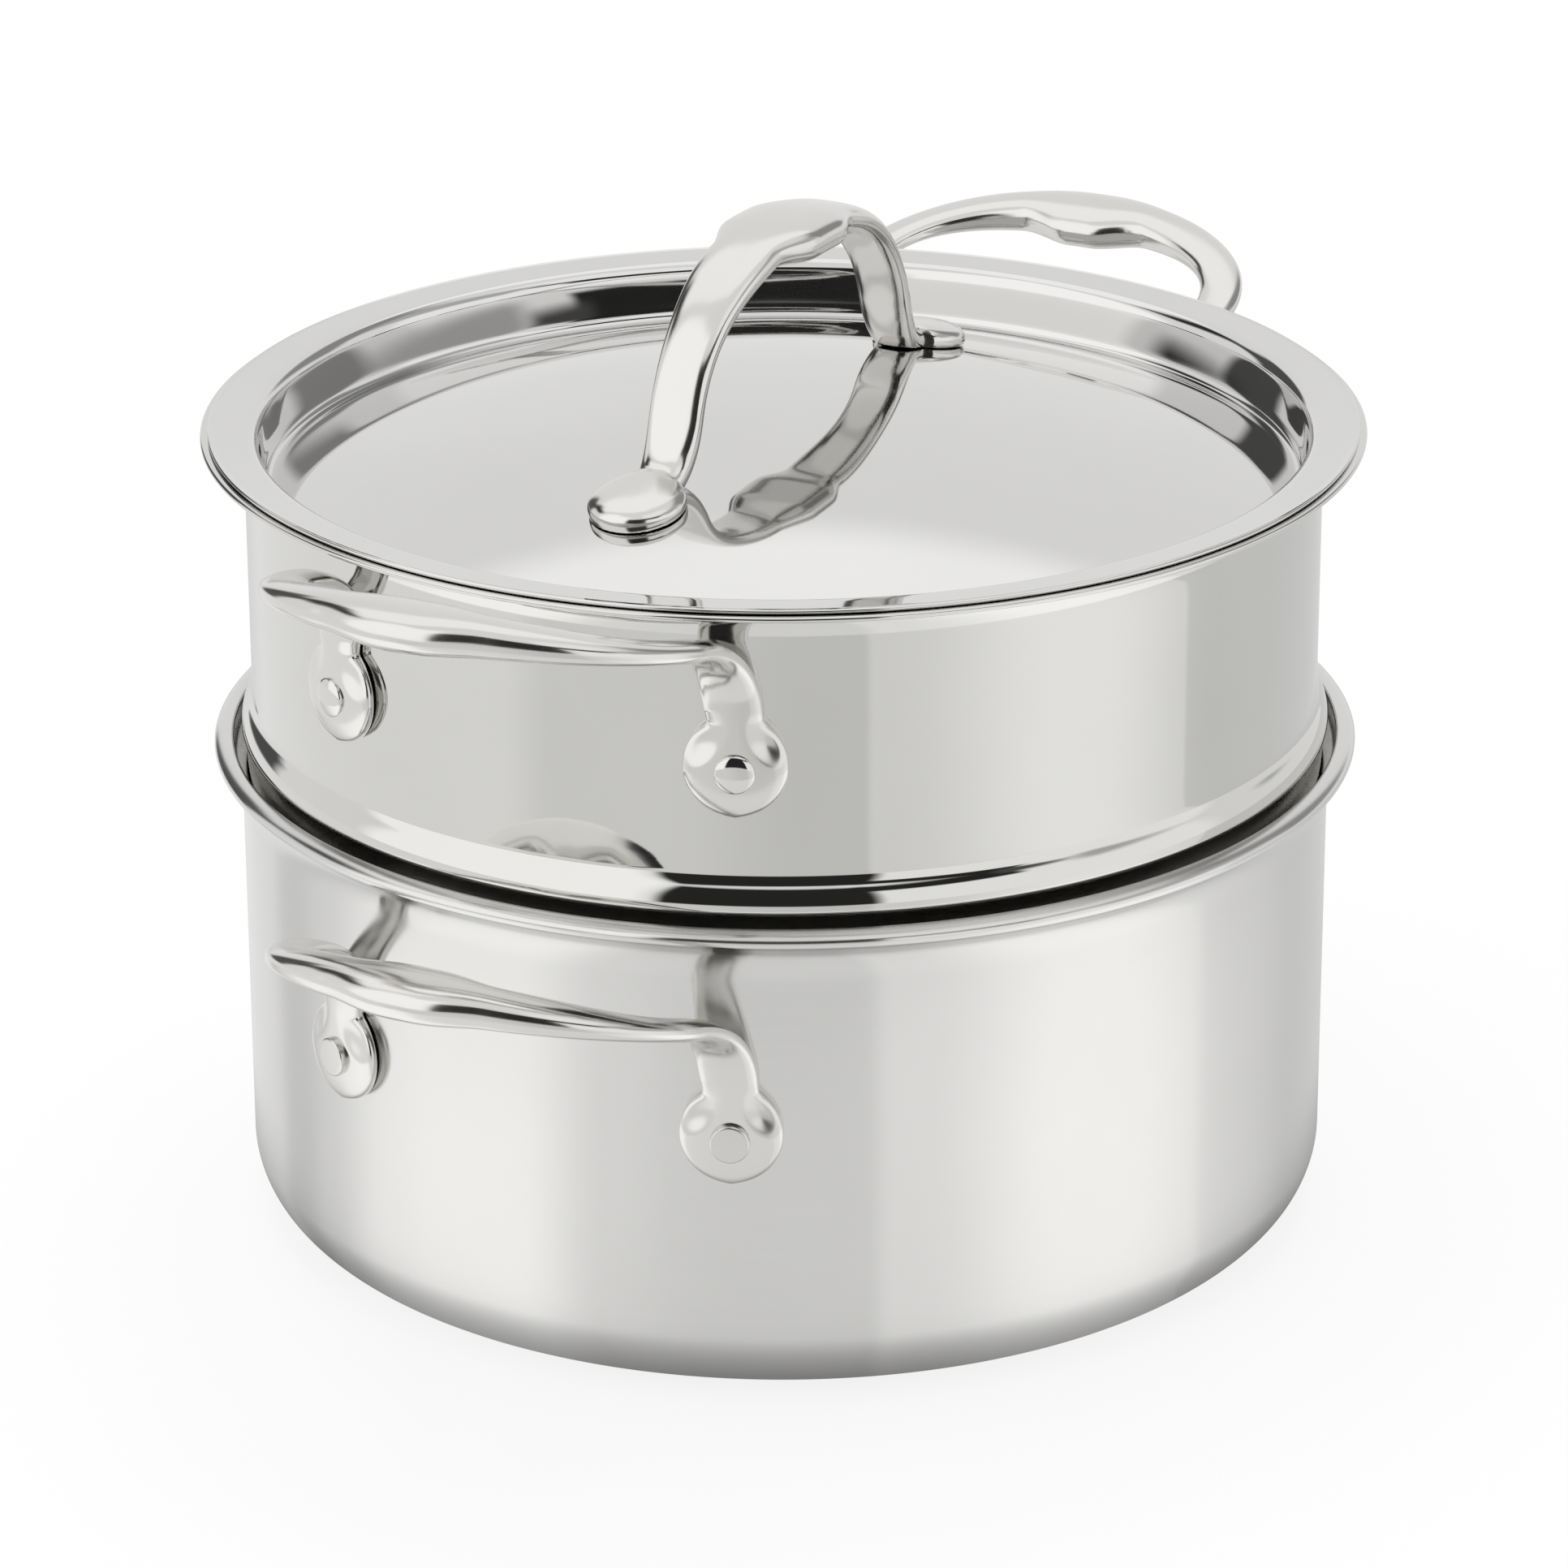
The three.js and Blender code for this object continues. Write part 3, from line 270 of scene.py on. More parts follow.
def floor_holes():
    """The insert's floor with holes: ring by ring, each hole's edge blended out to its cell.

    A cell is the piece of ring round one hole. Its loop runs along the inner arc, one side, the
    outer arc and the other side, and the hole's loop has as many points, so each row of the grid
    is a blend of the two, first on the underside, then up the hole's wall, then on the top.
    """
    base = POT_HEIGHT - INSERT_DEPTH
    arcs = [36, 72, 144, 144, 288]
    side = 5
    share = np.array([1, 0.55, 0.2, 0.06, 0, 0, 0.06, 0.2, 0.55, 1])
    height = base + INSERT_SHEET * np.array([0, 0, 0, 0, 0.12, 0.88, 1, 1, 1, 1])
    points, faces, offset = [], [], 0

    def add(loop, hole):
        nonlocal offset
        rows = hole + (loop - hole) * share[:, None, None]
        flat = np.concatenate([rows, np.broadcast_to(
            height[:, None, None], rows.shape[:2] + (1,))], -1)
        points.append(flat.reshape(-1, 3))
        faces.append(grid_faces(len(share), len(loop)) + offset)
        offset += flat.shape[0] * flat.shape[1]

    turn = np.linspace(2 * np.pi, 0, arcs[0], endpoint=False)
    ring = np.stack([np.cos(turn), np.sin(turn)], 1)
    add(ring * HOLE_PITCH / 2, ring * HOLE_RADIUS)
    for number in range(1, HOLE_RINGS + 1):
        count = 6 * number
        half = np.pi / count
        inside, outside = ((number + k) * HOLE_PITCH for k in (-0.5, 0.5))
        low = np.linspace(-half, half, arcs[number - 1] // count + 1)
        high = np.linspace(half, -half, arcs[number] // count + 1)
        out = np.linspace(inside, outside, side + 1)
        radius = np.concatenate([np.full(len(low) - 1, inside), out[:-1],
                                 np.full(len(high) - 1, outside), out[:0:-1]])
        angle = np.concatenate([low[:-1], np.full(side, half), high[:-1], np.full(side, -half)])
        middle = np.array([number * HOLE_PITCH, 0])
        loop = np.stack([radius * np.cos(angle), radius * np.sin(angle)], 1)
        way = loop - middle
        hole = middle + HOLE_RADIUS * way / np.linalg.norm(way, axis=1, keepdims=True)
        for place in range(count):
            spin = 2 * np.pi * place / count
            turn = np.array([[math.cos(spin), math.sin(spin)], [-math.sin(spin), math.cos(spin)]])
            add(loop @ turn, hole @ turn)
    return np.concatenate(points), np.concatenate(faces)


def dome_height(radius):
    """Height of the lid's dome, a shallow ball of DOME_RADIUS, above the floor."""
    drop = DOME_RADIUS - np.sqrt(DOME_RADIUS ** 2 - np.asarray(radius, float) ** 2)
    return RIM_TOP + LID_FOOT + DOME_RISE - drop


def lid_profile():
    """Dome, foot of the recess, recess wall, flange and rolled edge, then the underside back in.

    The recess wall is one quadratic curve that leans out more as it rises, and the underside is
    the top moved along its normal by the sheet's thickness.
    """
    def flange(radius):
        return RIM_TOP + SEAT_GAP + LID_SHEET - (RIM_RADIUS - radius) * RIM_SLOPE

    foot = np.array([LID_FOOT_RADIUS, RIM_TOP + LID_FOOT])
    low_way = np.array([math.sin(LEAN_LOW), math.cos(LEAN_LOW)])
    high_way = np.array([math.sin(LEAN_HIGH), math.cos(LEAN_HIGH)])
    flange_start = np.array([LID_PLUG + LID_BEND, flange(LID_PLUG + LID_BEND)])
    corner = flange_start - [LID_TUCK, LID_TUCK * RIM_SLOPE]
    wall_low, wall_top = foot + LID_ROUND * low_way, corner - LID_TUCK * high_way
    along = np.linalg.solve(np.stack([low_way, high_way], 1), wall_top - wall_low)[0]
    dome = np.linspace(0, LID_FOOT_RADIUS - LID_ROUND, 40)
    dome = np.stack([dome, dome_height(dome)], 1)
    roll = LID_SHEET / 2
    top = chain(
        dome,
        bend(dome[-1], foot, wall_low, 14),
        bend(wall_low, wall_low + along * low_way, wall_top, 16),
        bend(wall_top, corner, flange_start, 14),
        line(flange_start, (LID_EDGE - roll, flange(LID_EDGE - roll)), 6),
    )
    way = np.gradient(top, axis=0)
    way /= np.linalg.norm(way, axis=1, keepdims=True)
    under = top + LID_SHEET * np.stack([way[:, 1], -way[:, 0]], 1)
    under[0] = top[0] - [0, LID_SHEET]
    edge = arc((LID_EDGE - roll, flange(LID_EDGE) - roll), roll, roll, 85, -85, 9)
    return chain(top, edge, under[::-1])


# Cast handles

def section(count, squareness):
    """Rounded rectangle, one per station: signed cosine and sine to the power 2 / squareness."""
    turn = 2 * np.pi * (np.arange(count) + 0.5) / count
    power = 2 / np.atleast_1d(squareness)[:, None]
    return tuple(np.sign(f) * np.abs(f) ** power for f in (np.cos(turn), np.sin(turn)))


def strap(at, across, through, width, thick, squareness, count=96):
    """Carries the section along a path: middle + across * width / 2 * x + through * thick / 2 * y."""
    x, y = section(count, squareness)
    wide = across[:, None, :] * (x * width[:, None] / 2)[..., None]
    deep = through[:, None, :] * (y * thick[:, None] / 2)[..., None]
    return at[:, None, :] + wide + deep


def mirrored(half, axis):
    """Puts the mirror image of a half strap before it, in the plane across one axis."""
    flip = np.ones(3)
    flip[axis] = -1
    return np.concatenate([half[:0:-1] * flip, half])


def round_pad(past, radius, neck):
    """Width of a strap that ends in a round pad: the chord, never under the neck's width before it."""
    chord = 2 * np.sqrt(np.clip(radius ** 2 - past ** 2, 0, None))
    soft = np.log(np.exp(chord) + np.exp(neck))
    return np.where(past < 0, mix(soft, chord, smooth((past + 4) / 4)), chord)


def scoop(side, height, middle, half, lean):
    """Depth share of a scooped dimple: 1 less the squared distance in a leaning ellipse's radii."""
    c, s = math.cos(math.radians(lean)), math.sin(math.radians(lean))
    u, v = np.abs(side) - middle[0], height - middle[1]
    away = ((u * c + v * s) / half[0]) ** 2 + ((v * c - u * s) / half[1]) ** 2
    return np.clip(1 - away, 0, None) ** 2


def loop_handle(wall, rise, shoulder):
    """Loop handle: half a looped bar, its turn down to the wall, a leg and a spoon-shaped foot.

    Two cubic curves make half of the loop. The bar swells inwards into a boss in its middle, the
    section turns from lying flat to standing on the wall, the leg leans out towards the foot, and
    the foot's face has two scooped dimples.
    """
    reach, half_span, length, leg = 41.2, 46.0, 33.5, 14.5
    boss_wide, boss_thick, boss_in, tilt = 20.5, 10.0, 1.4, math.radians(8)
    bar_wide, bar_thick, slim_wide, slim = 13.6, 8.8, 9.8, 4.4
    leg_wide, neck = 12.4, 11.6
    pad, lift, sink, pull, lean_in = 11.1, 0.9, 1.0, 0.6, 0.5
    boss_flat, boss_run, taper_end = 3.0, 15.0, 0.85
    leg_from, slant_top = 7.0, 0.2
    bar_square, boss_square, leg_square = 2.5, 2.3, 2.4
    dimple_deep, dimple_middle, dimple_half, dimple_lean = 1.2, (7.4, 7.0), (5.0, 8.0), 34
    face_rise, toe_drop, toe_power, boss_half = 2.7, 1.6, 5, 20
    slope = math.atan((rise - shoulder) / length)
    turn = math.asin(FOOT_SPAN / wall)
    outward = np.array([math.cos(turn), math.sin(turn), 0])
    sideways = np.array([-math.sin(turn), math.cos(turn), 0])
    stand = wall + (FOOT_THICK - sink) / 2
    boss = np.array([wall + reach, 0, rise])
    fall = np.array([-math.cos(slope), 0, -math.sin(slope)])
    corner = np.array([boss[0] - length, half_span, shoulder])
    top = outward * stand + UP * leg - sideways * lean_in
    bar = (boss, boss + [0, half_span * pull, 0], corner - fall * length * pull, corner)
    down = (corner, corner + fall * (corner[0] - top[0]) * ROUND_PULL,
            top + (UP - sideways * slant_top) * (corner[2] - top[2]) * ROUND_PULL, top)
    t = np.linspace(0, 1, 56)
    parts = [cubic(bar, t), cubic(down, t[1:])]
    at = np.concatenate([p[0] for p in parts])
    heading = np.concatenate([p[1] for p in parts])
    along = np.concatenate([t, 1 + t[1:]])
    twist, outboard = smooth(along - 1), smooth(along)
    taper = smooth(along / taper_end)
    flat = heading * [1, 1, 0]
    flat /= np.linalg.norm(flat, axis=1, keepdims=True) + 1e-9
    across = mix(np.stack([flat[:, 1], -flat[:, 0], 0 * twist], 1), sideways, twist[:, None])
    through = np.cross(heading, across)
    through /= np.linalg.norm(through, axis=1, keepdims=True)
    across = np.cross(through, heading)
    lean = (tilt * (1 - outboard))[:, None]
    across, through = (across * np.cos(lean) - through * np.sin(lean),
                       through * np.cos(lean) + across * np.sin(lean))
    swell = 1 - smooth((np.abs(at[:, 1]) - boss_flat) / boss_run)
    width = mix(mix(mix(bar_wide, slim_wide, taper), leg_wide, twist), boss_wide, swell)
    thick = mix(mix(mix(bar_thick, slim, taper), FOOT_THICK + sink, twist), boss_thick, swell)
    raised = through * (swell * (boss_thick - bar_thick) / 2)[:, None]
    at = at + raised - across * (swell * boss_in)[:, None]
    square = mix(mix(bar_square, boss_square, swell), leg_square, twist)
    past = mix(lift - leg, pad, np.sin(np.linspace(0, np.pi / 2, 96)))[1:]
    free = np.clip((lift - past - leg_from) / (leg - leg_from), 0, 1)
    power = slant_top * (leg - leg_from) / lean_in
    leaning, slant = lean_in * free ** power, (slant_top * free ** (power - 1))[:, None]
    foot_at = outward * stand + UP * (lift - past)[:, None] - sideways * leaning[:, None]
    ones = np.ones((len(past), 1))
    at = np.concatenate([at, foot_at])
    across = np.concatenate([across, (sideways + UP * slant) / np.sqrt(1 + slant ** 2)])
    through = np.concatenate([through, ones * outward])
    width = np.concatenate([width, round_pad(past, pad, mix(neck, leg_wide, free))])
    thick = np.concatenate([thick, np.full(len(past), FOOT_THICK + sink)])
    square = np.concatenate([square, np.full(len(past), leg_square)])
    half = strap(at, across, through, width, thick, square)
    start = len(at) - len(past)
    face = half[start:] - outward * stand
    side, height, proud = face @ sideways, face @ UP, face @ outward
    dent = dimple_deep * scoop(side, height, dimple_middle, dimple_half, dimple_lean)
    rounding = np.clip((past / pad), 0, 1)[:, None] ** toe_power
    front = np.clip(proud / face_rise, 0, 1)
    half[start:] -= outward * (front * (dent + toe_drop * rounding))[..., None]
    body = mirrored(half, 1)
    away = np.hypot(body[..., 0], body[..., 1])
    push = np.where(away < wall + SEAT_GAP, (wall + SEAT_GAP) / away, 1)
    near_wall = np.abs(body[..., 1]) > boss_half
    body[..., :2] *= np.where(near_wall, push, 1)[..., None]
    rows, cols = body.shape[:2]
    return body.reshape(-1, 3), grid_faces(rows, cols)


def rivet(wall, sheet, domed):
    """Rivet along +X: a low inner head, a hidden shank and an outer head, domed or flat."""
    shank, inner, inner_rise = 2.5, 4.5, 1.2
    outer, dome_foot, dome_rise = 4.3, 0.35, 1.15
    edge_round, edge_rise, flat_rise = 0.55, 0.9, 1.5
    facet_gap = wall * (1 - math.cos(math.pi / CAD_FACETS))
    inside = wall - sheet - SEAT_GAP - facet_gap - inner ** 2 / wall
    head = wall + FOOT_THICK - SPOT_DEPTH + SEAT_GAP
    if domed:
        cap = arc((0, head + dome_foot), outer, dome_rise, 0, 90, 14)
    else:
        edge = arc((outer - edge_round, head + edge_rise), edge_round, edge_round, 0, 90, 7)
        cap = chain(edge, (outer - 2 * edge_round, head + flat_rise - 0.02), (0, head + flat_rise))
    profile = chain((0, inside - inner_rise), arc((0, inside), inner, inner_rise, -80, 0, 10),
                    (shank, inside), (shank, head), (outer, head), cap)
    points, faces = turned(profile, 48)
    return points[:, [2, 1, 0]] * [1, -1, 1], faces


def lid_handle():
    """Lid handle: a rounded arch that swells into a boss, turns out at its feet and ends in pads.

    The arch is half a squared-off ellipse. It broadens gently from leg to top and then into the
    boss, and each pad is a thick crowned disc that lies on the dome.
    """
    half_span, rise, spring, squareness = 50.4, 41.0, 3.0, 2.25
    wide, broad, thick, leg_thick, neck = 12.6, 16.6, 6.4, 4.6, 10.8
    boss_wide, boss_thick = 24.4, 8.8
    pad, offset, pad_low, pad_thick, turn_length = 10.7, 66.7, 1.5, 7.4, 8.2
    foot_angle = math.radians(14)
    boss_flat, boss_run, leg_from, leg_run = 5.0, 13.0, 20.0, 28.0
    bar_square, pad_square, crown_power, crown_share = 2.9, 2.3, 3.2, 0.4
    dome_end = 110

    def middle(x):
        return dome_height(x) + pad_low

    turn = np.linspace(np.pi / 2, foot_angle, 80)
    x = half_span * np.cos(turn) ** (2 / squareness)
    z = RIM_TOP + spring + rise * np.sin(turn) ** (2 / squareness)
    swell = 1 - smooth((x - boss_flat) / boss_run)
    share = np.linspace(0, 1, 80)
    arch_wide = mix(mix(wide, broad, 1 - smooth((x - leg_from) / leg_run)), boss_wide, swell)
    arch_thick = mix(mix(thick, leg_thick, smooth(share)), boss_thick, swell)
    z = z - swell * (boss_thick - thick) / 2
    start = half_span + turn_length
    knee = x[-1] + (z[-1] - middle(half_span)) * (x[-1] - x[-2]) / (z[-2] - z[-1])
    out = bend((x[-1], z[-1]), (knee, middle(knee)), (start, middle(start)), 32)[1:]
    share = np.linspace(0, 1, 32)[1:]
    past = mix(start - offset, pad, np.sin(np.linspace(0, np.pi / 2, 60)))[1:]
    pad_x = offset + past
    xs = np.concatenate([x, out[:, 0], pad_x])
    zs = np.concatenate([z, out[:, 1], middle(pad_x)])
    widths = np.concatenate([arch_wide, mix(wide, neck, smooth(share)), round_pad(past, pad, neck)])
    rounding = (1 - np.clip(past / pad, 0, 1) ** crown_power) ** crown_share
    thicks = np.concatenate([arch_thick, mix(leg_thick, pad_thick, share), pad_thick * rounding])
    way = np.stack([np.gradient(xs), 0 * xs, np.gradient(zs)], 1)
    way[0] = (1, 0, 0)
    way /= np.linalg.norm(way, axis=1, keepdims=True)
    across = np.broadcast_to([0.0, 1.0, 0.0], way.shape)
    through = np.cross(way, across)
    at = np.stack([xs, 0 * xs, zs], 1)
    square = np.concatenate([np.full(len(x), bar_square), mix(bar_square, pad_square, share),
                             np.full(len(past), pad_square)])
    half = strap(at, across, through, widths, thicks, square)
    body = mirrored(half, 0)
    away = np.hypot(body[..., 0], body[..., 1])
    low = dome_height(np.clip(away, 0, dome_end)) + SEAT_GAP
    body[..., 2] = np.maximum(body[..., 2], low)
    rows, cols = body.shape[:2]
    return body.reshape(-1, 3), grid_faces(rows, cols)


# Steel finishes

def nodes_of(material):
    """Empties a material and gives back its tree and a shader joined to its output."""
    material.use_nodes = True
    tree = material.node_tree
    tree.nodes.clear()
    out = tree.nodes.new("ShaderNodeOutputMaterial")
    shader = tree.nodes.new("ShaderNodeBsdfPrincipled")
    tree.links.new(shader.outputs["BSDF"], out.inputs["Surface"])
    return tree, shader


def steel(name, colour, roughness, grain, scale, bump, streak=0.0):
    """Polished steel: a tint that drifts softly, and fine polishing lines in roughness and height.

    The lines are noise on Object coordinates stretched by scale, so they run the way the
    piece was polished. A streak above 0 spreads reflections along the Z axis, across lines
    that run round the piece.
    """
    material = bpy.data.materials.new(name)
    tree, shader = nodes_of(material)
    new, link = tree.nodes.new, tree.links.new
    place = new("ShaderNodeTexCoord")
    stretch = new("ShaderNodeMapping")
    stretch.inputs["Scale"].default_value = scale
    link(place.outputs["Object"], stretch.inputs["Vector"])
    lines = new("ShaderNodeTexNoise")
    lines.inputs["Scale"].default_value = 1.0
    lines.inputs["Detail"].default_value = 5.0
    link(stretch.outputs["Vector"], lines.inputs["Vector"])
    cloud = new("ShaderNodeTexNoise")
    cloud.inputs["Scale"].default_value = 22.0
    cloud.inputs["Detail"].default_value = 3.0
    link(place.outputs["Object"], cloud.inputs["Vector"])
    tint = new("ShaderNodeMix")
    tint.data_type = "RGBA"
    tint.inputs["A"].default_value = (*[c * 0.965 for c in colour], 1)
    tint.inputs["B"].default_value = (*[min(c * 1.035, 1) for c in colour], 1)
    link(cloud.outputs["Fac"], tint.inputs["Factor"])
    rough = new("ShaderNodeMapRange")
    rough.inputs["To Min"].default_value = roughness - grain
    rough.inputs["To Max"].default_value = roughness + grain
    link(lines.outputs["Fac"], rough.inputs["Value"])
    height = new("ShaderNodeBump")
    height.inputs["Strength"].default_value = bump
    height.inputs["Distance"].default_value = 0.0001
    link(lines.outputs["Fac"], height.inputs["Height"])
    link(tint.outputs["Result"], shader.inputs["Base Color"])
    link(rough.outputs["Result"], shader.inputs["Roughness"])
    link(height.outputs["Normal"], shader.inputs["Normal"])
    shader.inputs["Metallic"].default_value = 1.0
    if streak:
        round_way = new("ShaderNodeTangent")
        round_way.direction_type, round_way.axis = "RADIAL", "Z"
        link(round_way.outputs["Tangent"], shader.inputs["Tangent"])
        shader.inputs["Anisotropic"].default_value = streak
        shader.inputs["Anisotropic Rotation"].default_value = 0.25
    return material


pot_finish = steel("satin_pot_steel", (0.70, 0.695, 0.68), 0.17, 0.03, (30, 30, 2600), 0.02, 0.95)
insert_finish = steel("polished_insert_steel", (0.69, 0.685, 0.665), 0.035, 0.012, (40, 40, 3000), 0.006)
lid_finish = steel("polished_lid_steel", (0.72, 0.715, 0.705), 0.04, 0.012, (2400, 90, 90), 0.006)
cast_finish = steel("polished_cast_steel", (0.72, 0.71, 0.69), 0.155, 0.02, (500, 500, 500), 0.01)
rivet_finish = steel("rivet_steel", (0.68, 0.67, 0.65), 0.22, 0.06, (1500, 1500, 1500), 0.05)
rivet_dome = steel("polished_rivet_steel", (0.72, 0.71, 0.69), 0.05, 0.02, (900, 900, 900), 0.01)


# The object's pieces

add_piece("pot_body_steel", *turned(pot_profile()), "pot", "pot_steel", pot_finish)
wall_points, wall_faces = turned(insert_profile())
floor_points, floor_faces = floor_holes()
add_piece("steamer_insert_steel", np.concatenate([wall_points, floor_points]),
          np.concatenate([wall_faces, floor_faces + len(wall_points)]),
          "insert", "insert_steel", insert_finish)
add_piece("lid_shell_steel", *turned(lid_profile()), "lid", "lid_steel", lid_finish)
add_piece("lid_handle_steel", *lid_handle(), "lid", "cast_steel", cast_finish)


def placed(shape, spin, height):
    """Turns a shape about the Z axis and lifts it to its height."""
    points, faces = shape
    c, s = math.cos(spin), math.sin(spin)
    return points @ np.array([[c, s, 0], [-s, c, 0], [0, 0, 1]]) + [0, 0, height], faces


for body, wall, sheet, height, rise, shoulder, domed, finish in (
    ("pot", POT_OUTER, POT_WALL, POT_RIVETS, POT_LOOP_RISE, POT_SHOULDER, False, rivet_finish),
    ("insert", INSERT_OUTER, INSERT_SHEET, INSERT_RIVETS, INSERT_LOOP_RISE, INSERT_SHOULDER,
     True, rivet_dome),
):
    loop, pin = loop_handle(wall, rise, shoulder), rivet(wall, sheet, domed)
    swing = math.asin(FOOT_SPAN / wall)
    for side, facing, ends in (("right", 0, ("back", "front")), ("left", math.pi, ("front", "back"))):
        add_piece(f"{body}_handle_{side}_steel", *placed(loop, facing, height),
                  body, "cast_steel", cast_finish)
        for end, angle in zip(ends, (swing, -swing)):
            add_piece(f"{body}_rivet_{side}_{end}_steel", *placed(pin, facing + angle, height),
                      body, "rivet_steel", finish)


# Camera, with the lens, place and tilt that the photograph was taken with

CAMERA_TURN, CAMERA_PITCH, CAMERA_ROLL = math.radians(62.0), math.radians(21.496), -0.00408
FOCAL_PIXELS, IMAGE, SENSOR = 8026.2, 1932, 36
CAMERA_AWAY, CAMERA_HEIGHT = 1.3741, 0.6408
SHIFT_X, SHIFT_Y = -0.00058, -0.01215
toward = np.array([math.sin(CAMERA_TURN), math.cos(CAMERA_TURN), 0])
rightward = np.array([math.cos(CAMERA_TURN), -math.sin(CAMERA_TURN), 0])


def make_camera():
    """Looks along the fitted direction: right, up and back are the columns of its turn."""
    forward = toward * math.cos(CAMERA_PITCH) - UP * math.sin(CAMERA_PITCH)
    up = toward * math.sin(CAMERA_PITCH) + UP * math.cos(CAMERA_PITCH)
    c, s = math.cos(CAMERA_ROLL), math.sin(CAMERA_ROLL)
    turn = np.stack([rightward * c + up * s, up * c - rightward * s, -forward], 1)
    place = -toward * CAMERA_AWAY + UP * CAMERA_HEIGHT
    matrix = np.eye(4)
    matrix[:3, :3], matrix[:3, 3] = turn, place
    data = bpy.data.cameras.new("camera")
    data.lens, data.sensor_width = FOCAL_PIXELS / IMAGE * SENSOR, SENSOR
    data.shift_x, data.shift_y = SHIFT_X, SHIFT_Y
    data.clip_start, data.clip_end = 0.05, 50
    camera = bpy.data.objects.new("camera", data)
    bpy.context.collection.objects.link(camera)
    camera.matrix_world = matrix.T.tolist()
    bpy.context.scene.camera = camera


make_camera()


# Floor and light

class Wiring:
    """Short calls for wiring sums of numbers in a node tree."""

    def __init__(self, tree):
        tree.nodes.clear()
        self.new, self.link = tree.nodes.new, tree.links.new

    def calc(self, operation, *values):
        """One sum: sockets are joined and plain numbers are set."""
        node = self.new("ShaderNodeMath")
        node.operation = operation
        for socket, value in zip(node.inputs, values):
            if isinstance(value, (int, float)):
                socket.default_value = value
            else:
                self.link(value, socket)
        return node.outputs[0]

    def along(self, way, vector):
        """How far a vector reaches along a way."""
        node = self.new("ShaderNodeVectorMath")
        node.operation = "DOT_PRODUCT"
        node.inputs[1].default_value = way
        self.link(vector, node.inputs[0])
        return node.outputs["Value"]

    def ramp(self, value, start, stop, low=0.0, high=1.0):
        """Rises smoothly from low to high as the value goes from start to stop."""
        node = self.new("ShaderNodeMapRange")
        node.interpolation_type = "SMOOTHSTEP"
        for name, number in (("From Min", start), ("From Max", stop), ("To Min", low), ("To Max", high)):
            node.inputs[name].default_value = number
        self.link(value, node.inputs["Value"])
        return node.outputs["Result"]


FLOOR_RADIUS, FLOOR_DROP, FLOOR_CORNERS = 1.35, 0.0002, 96
BASE_EDGE, BASE_FADE, BASE_LEVEL = 0.104, 0.16, 0.25
CAMERA_SHARE, GLOSSY_SHARE = 0.85, 0.9


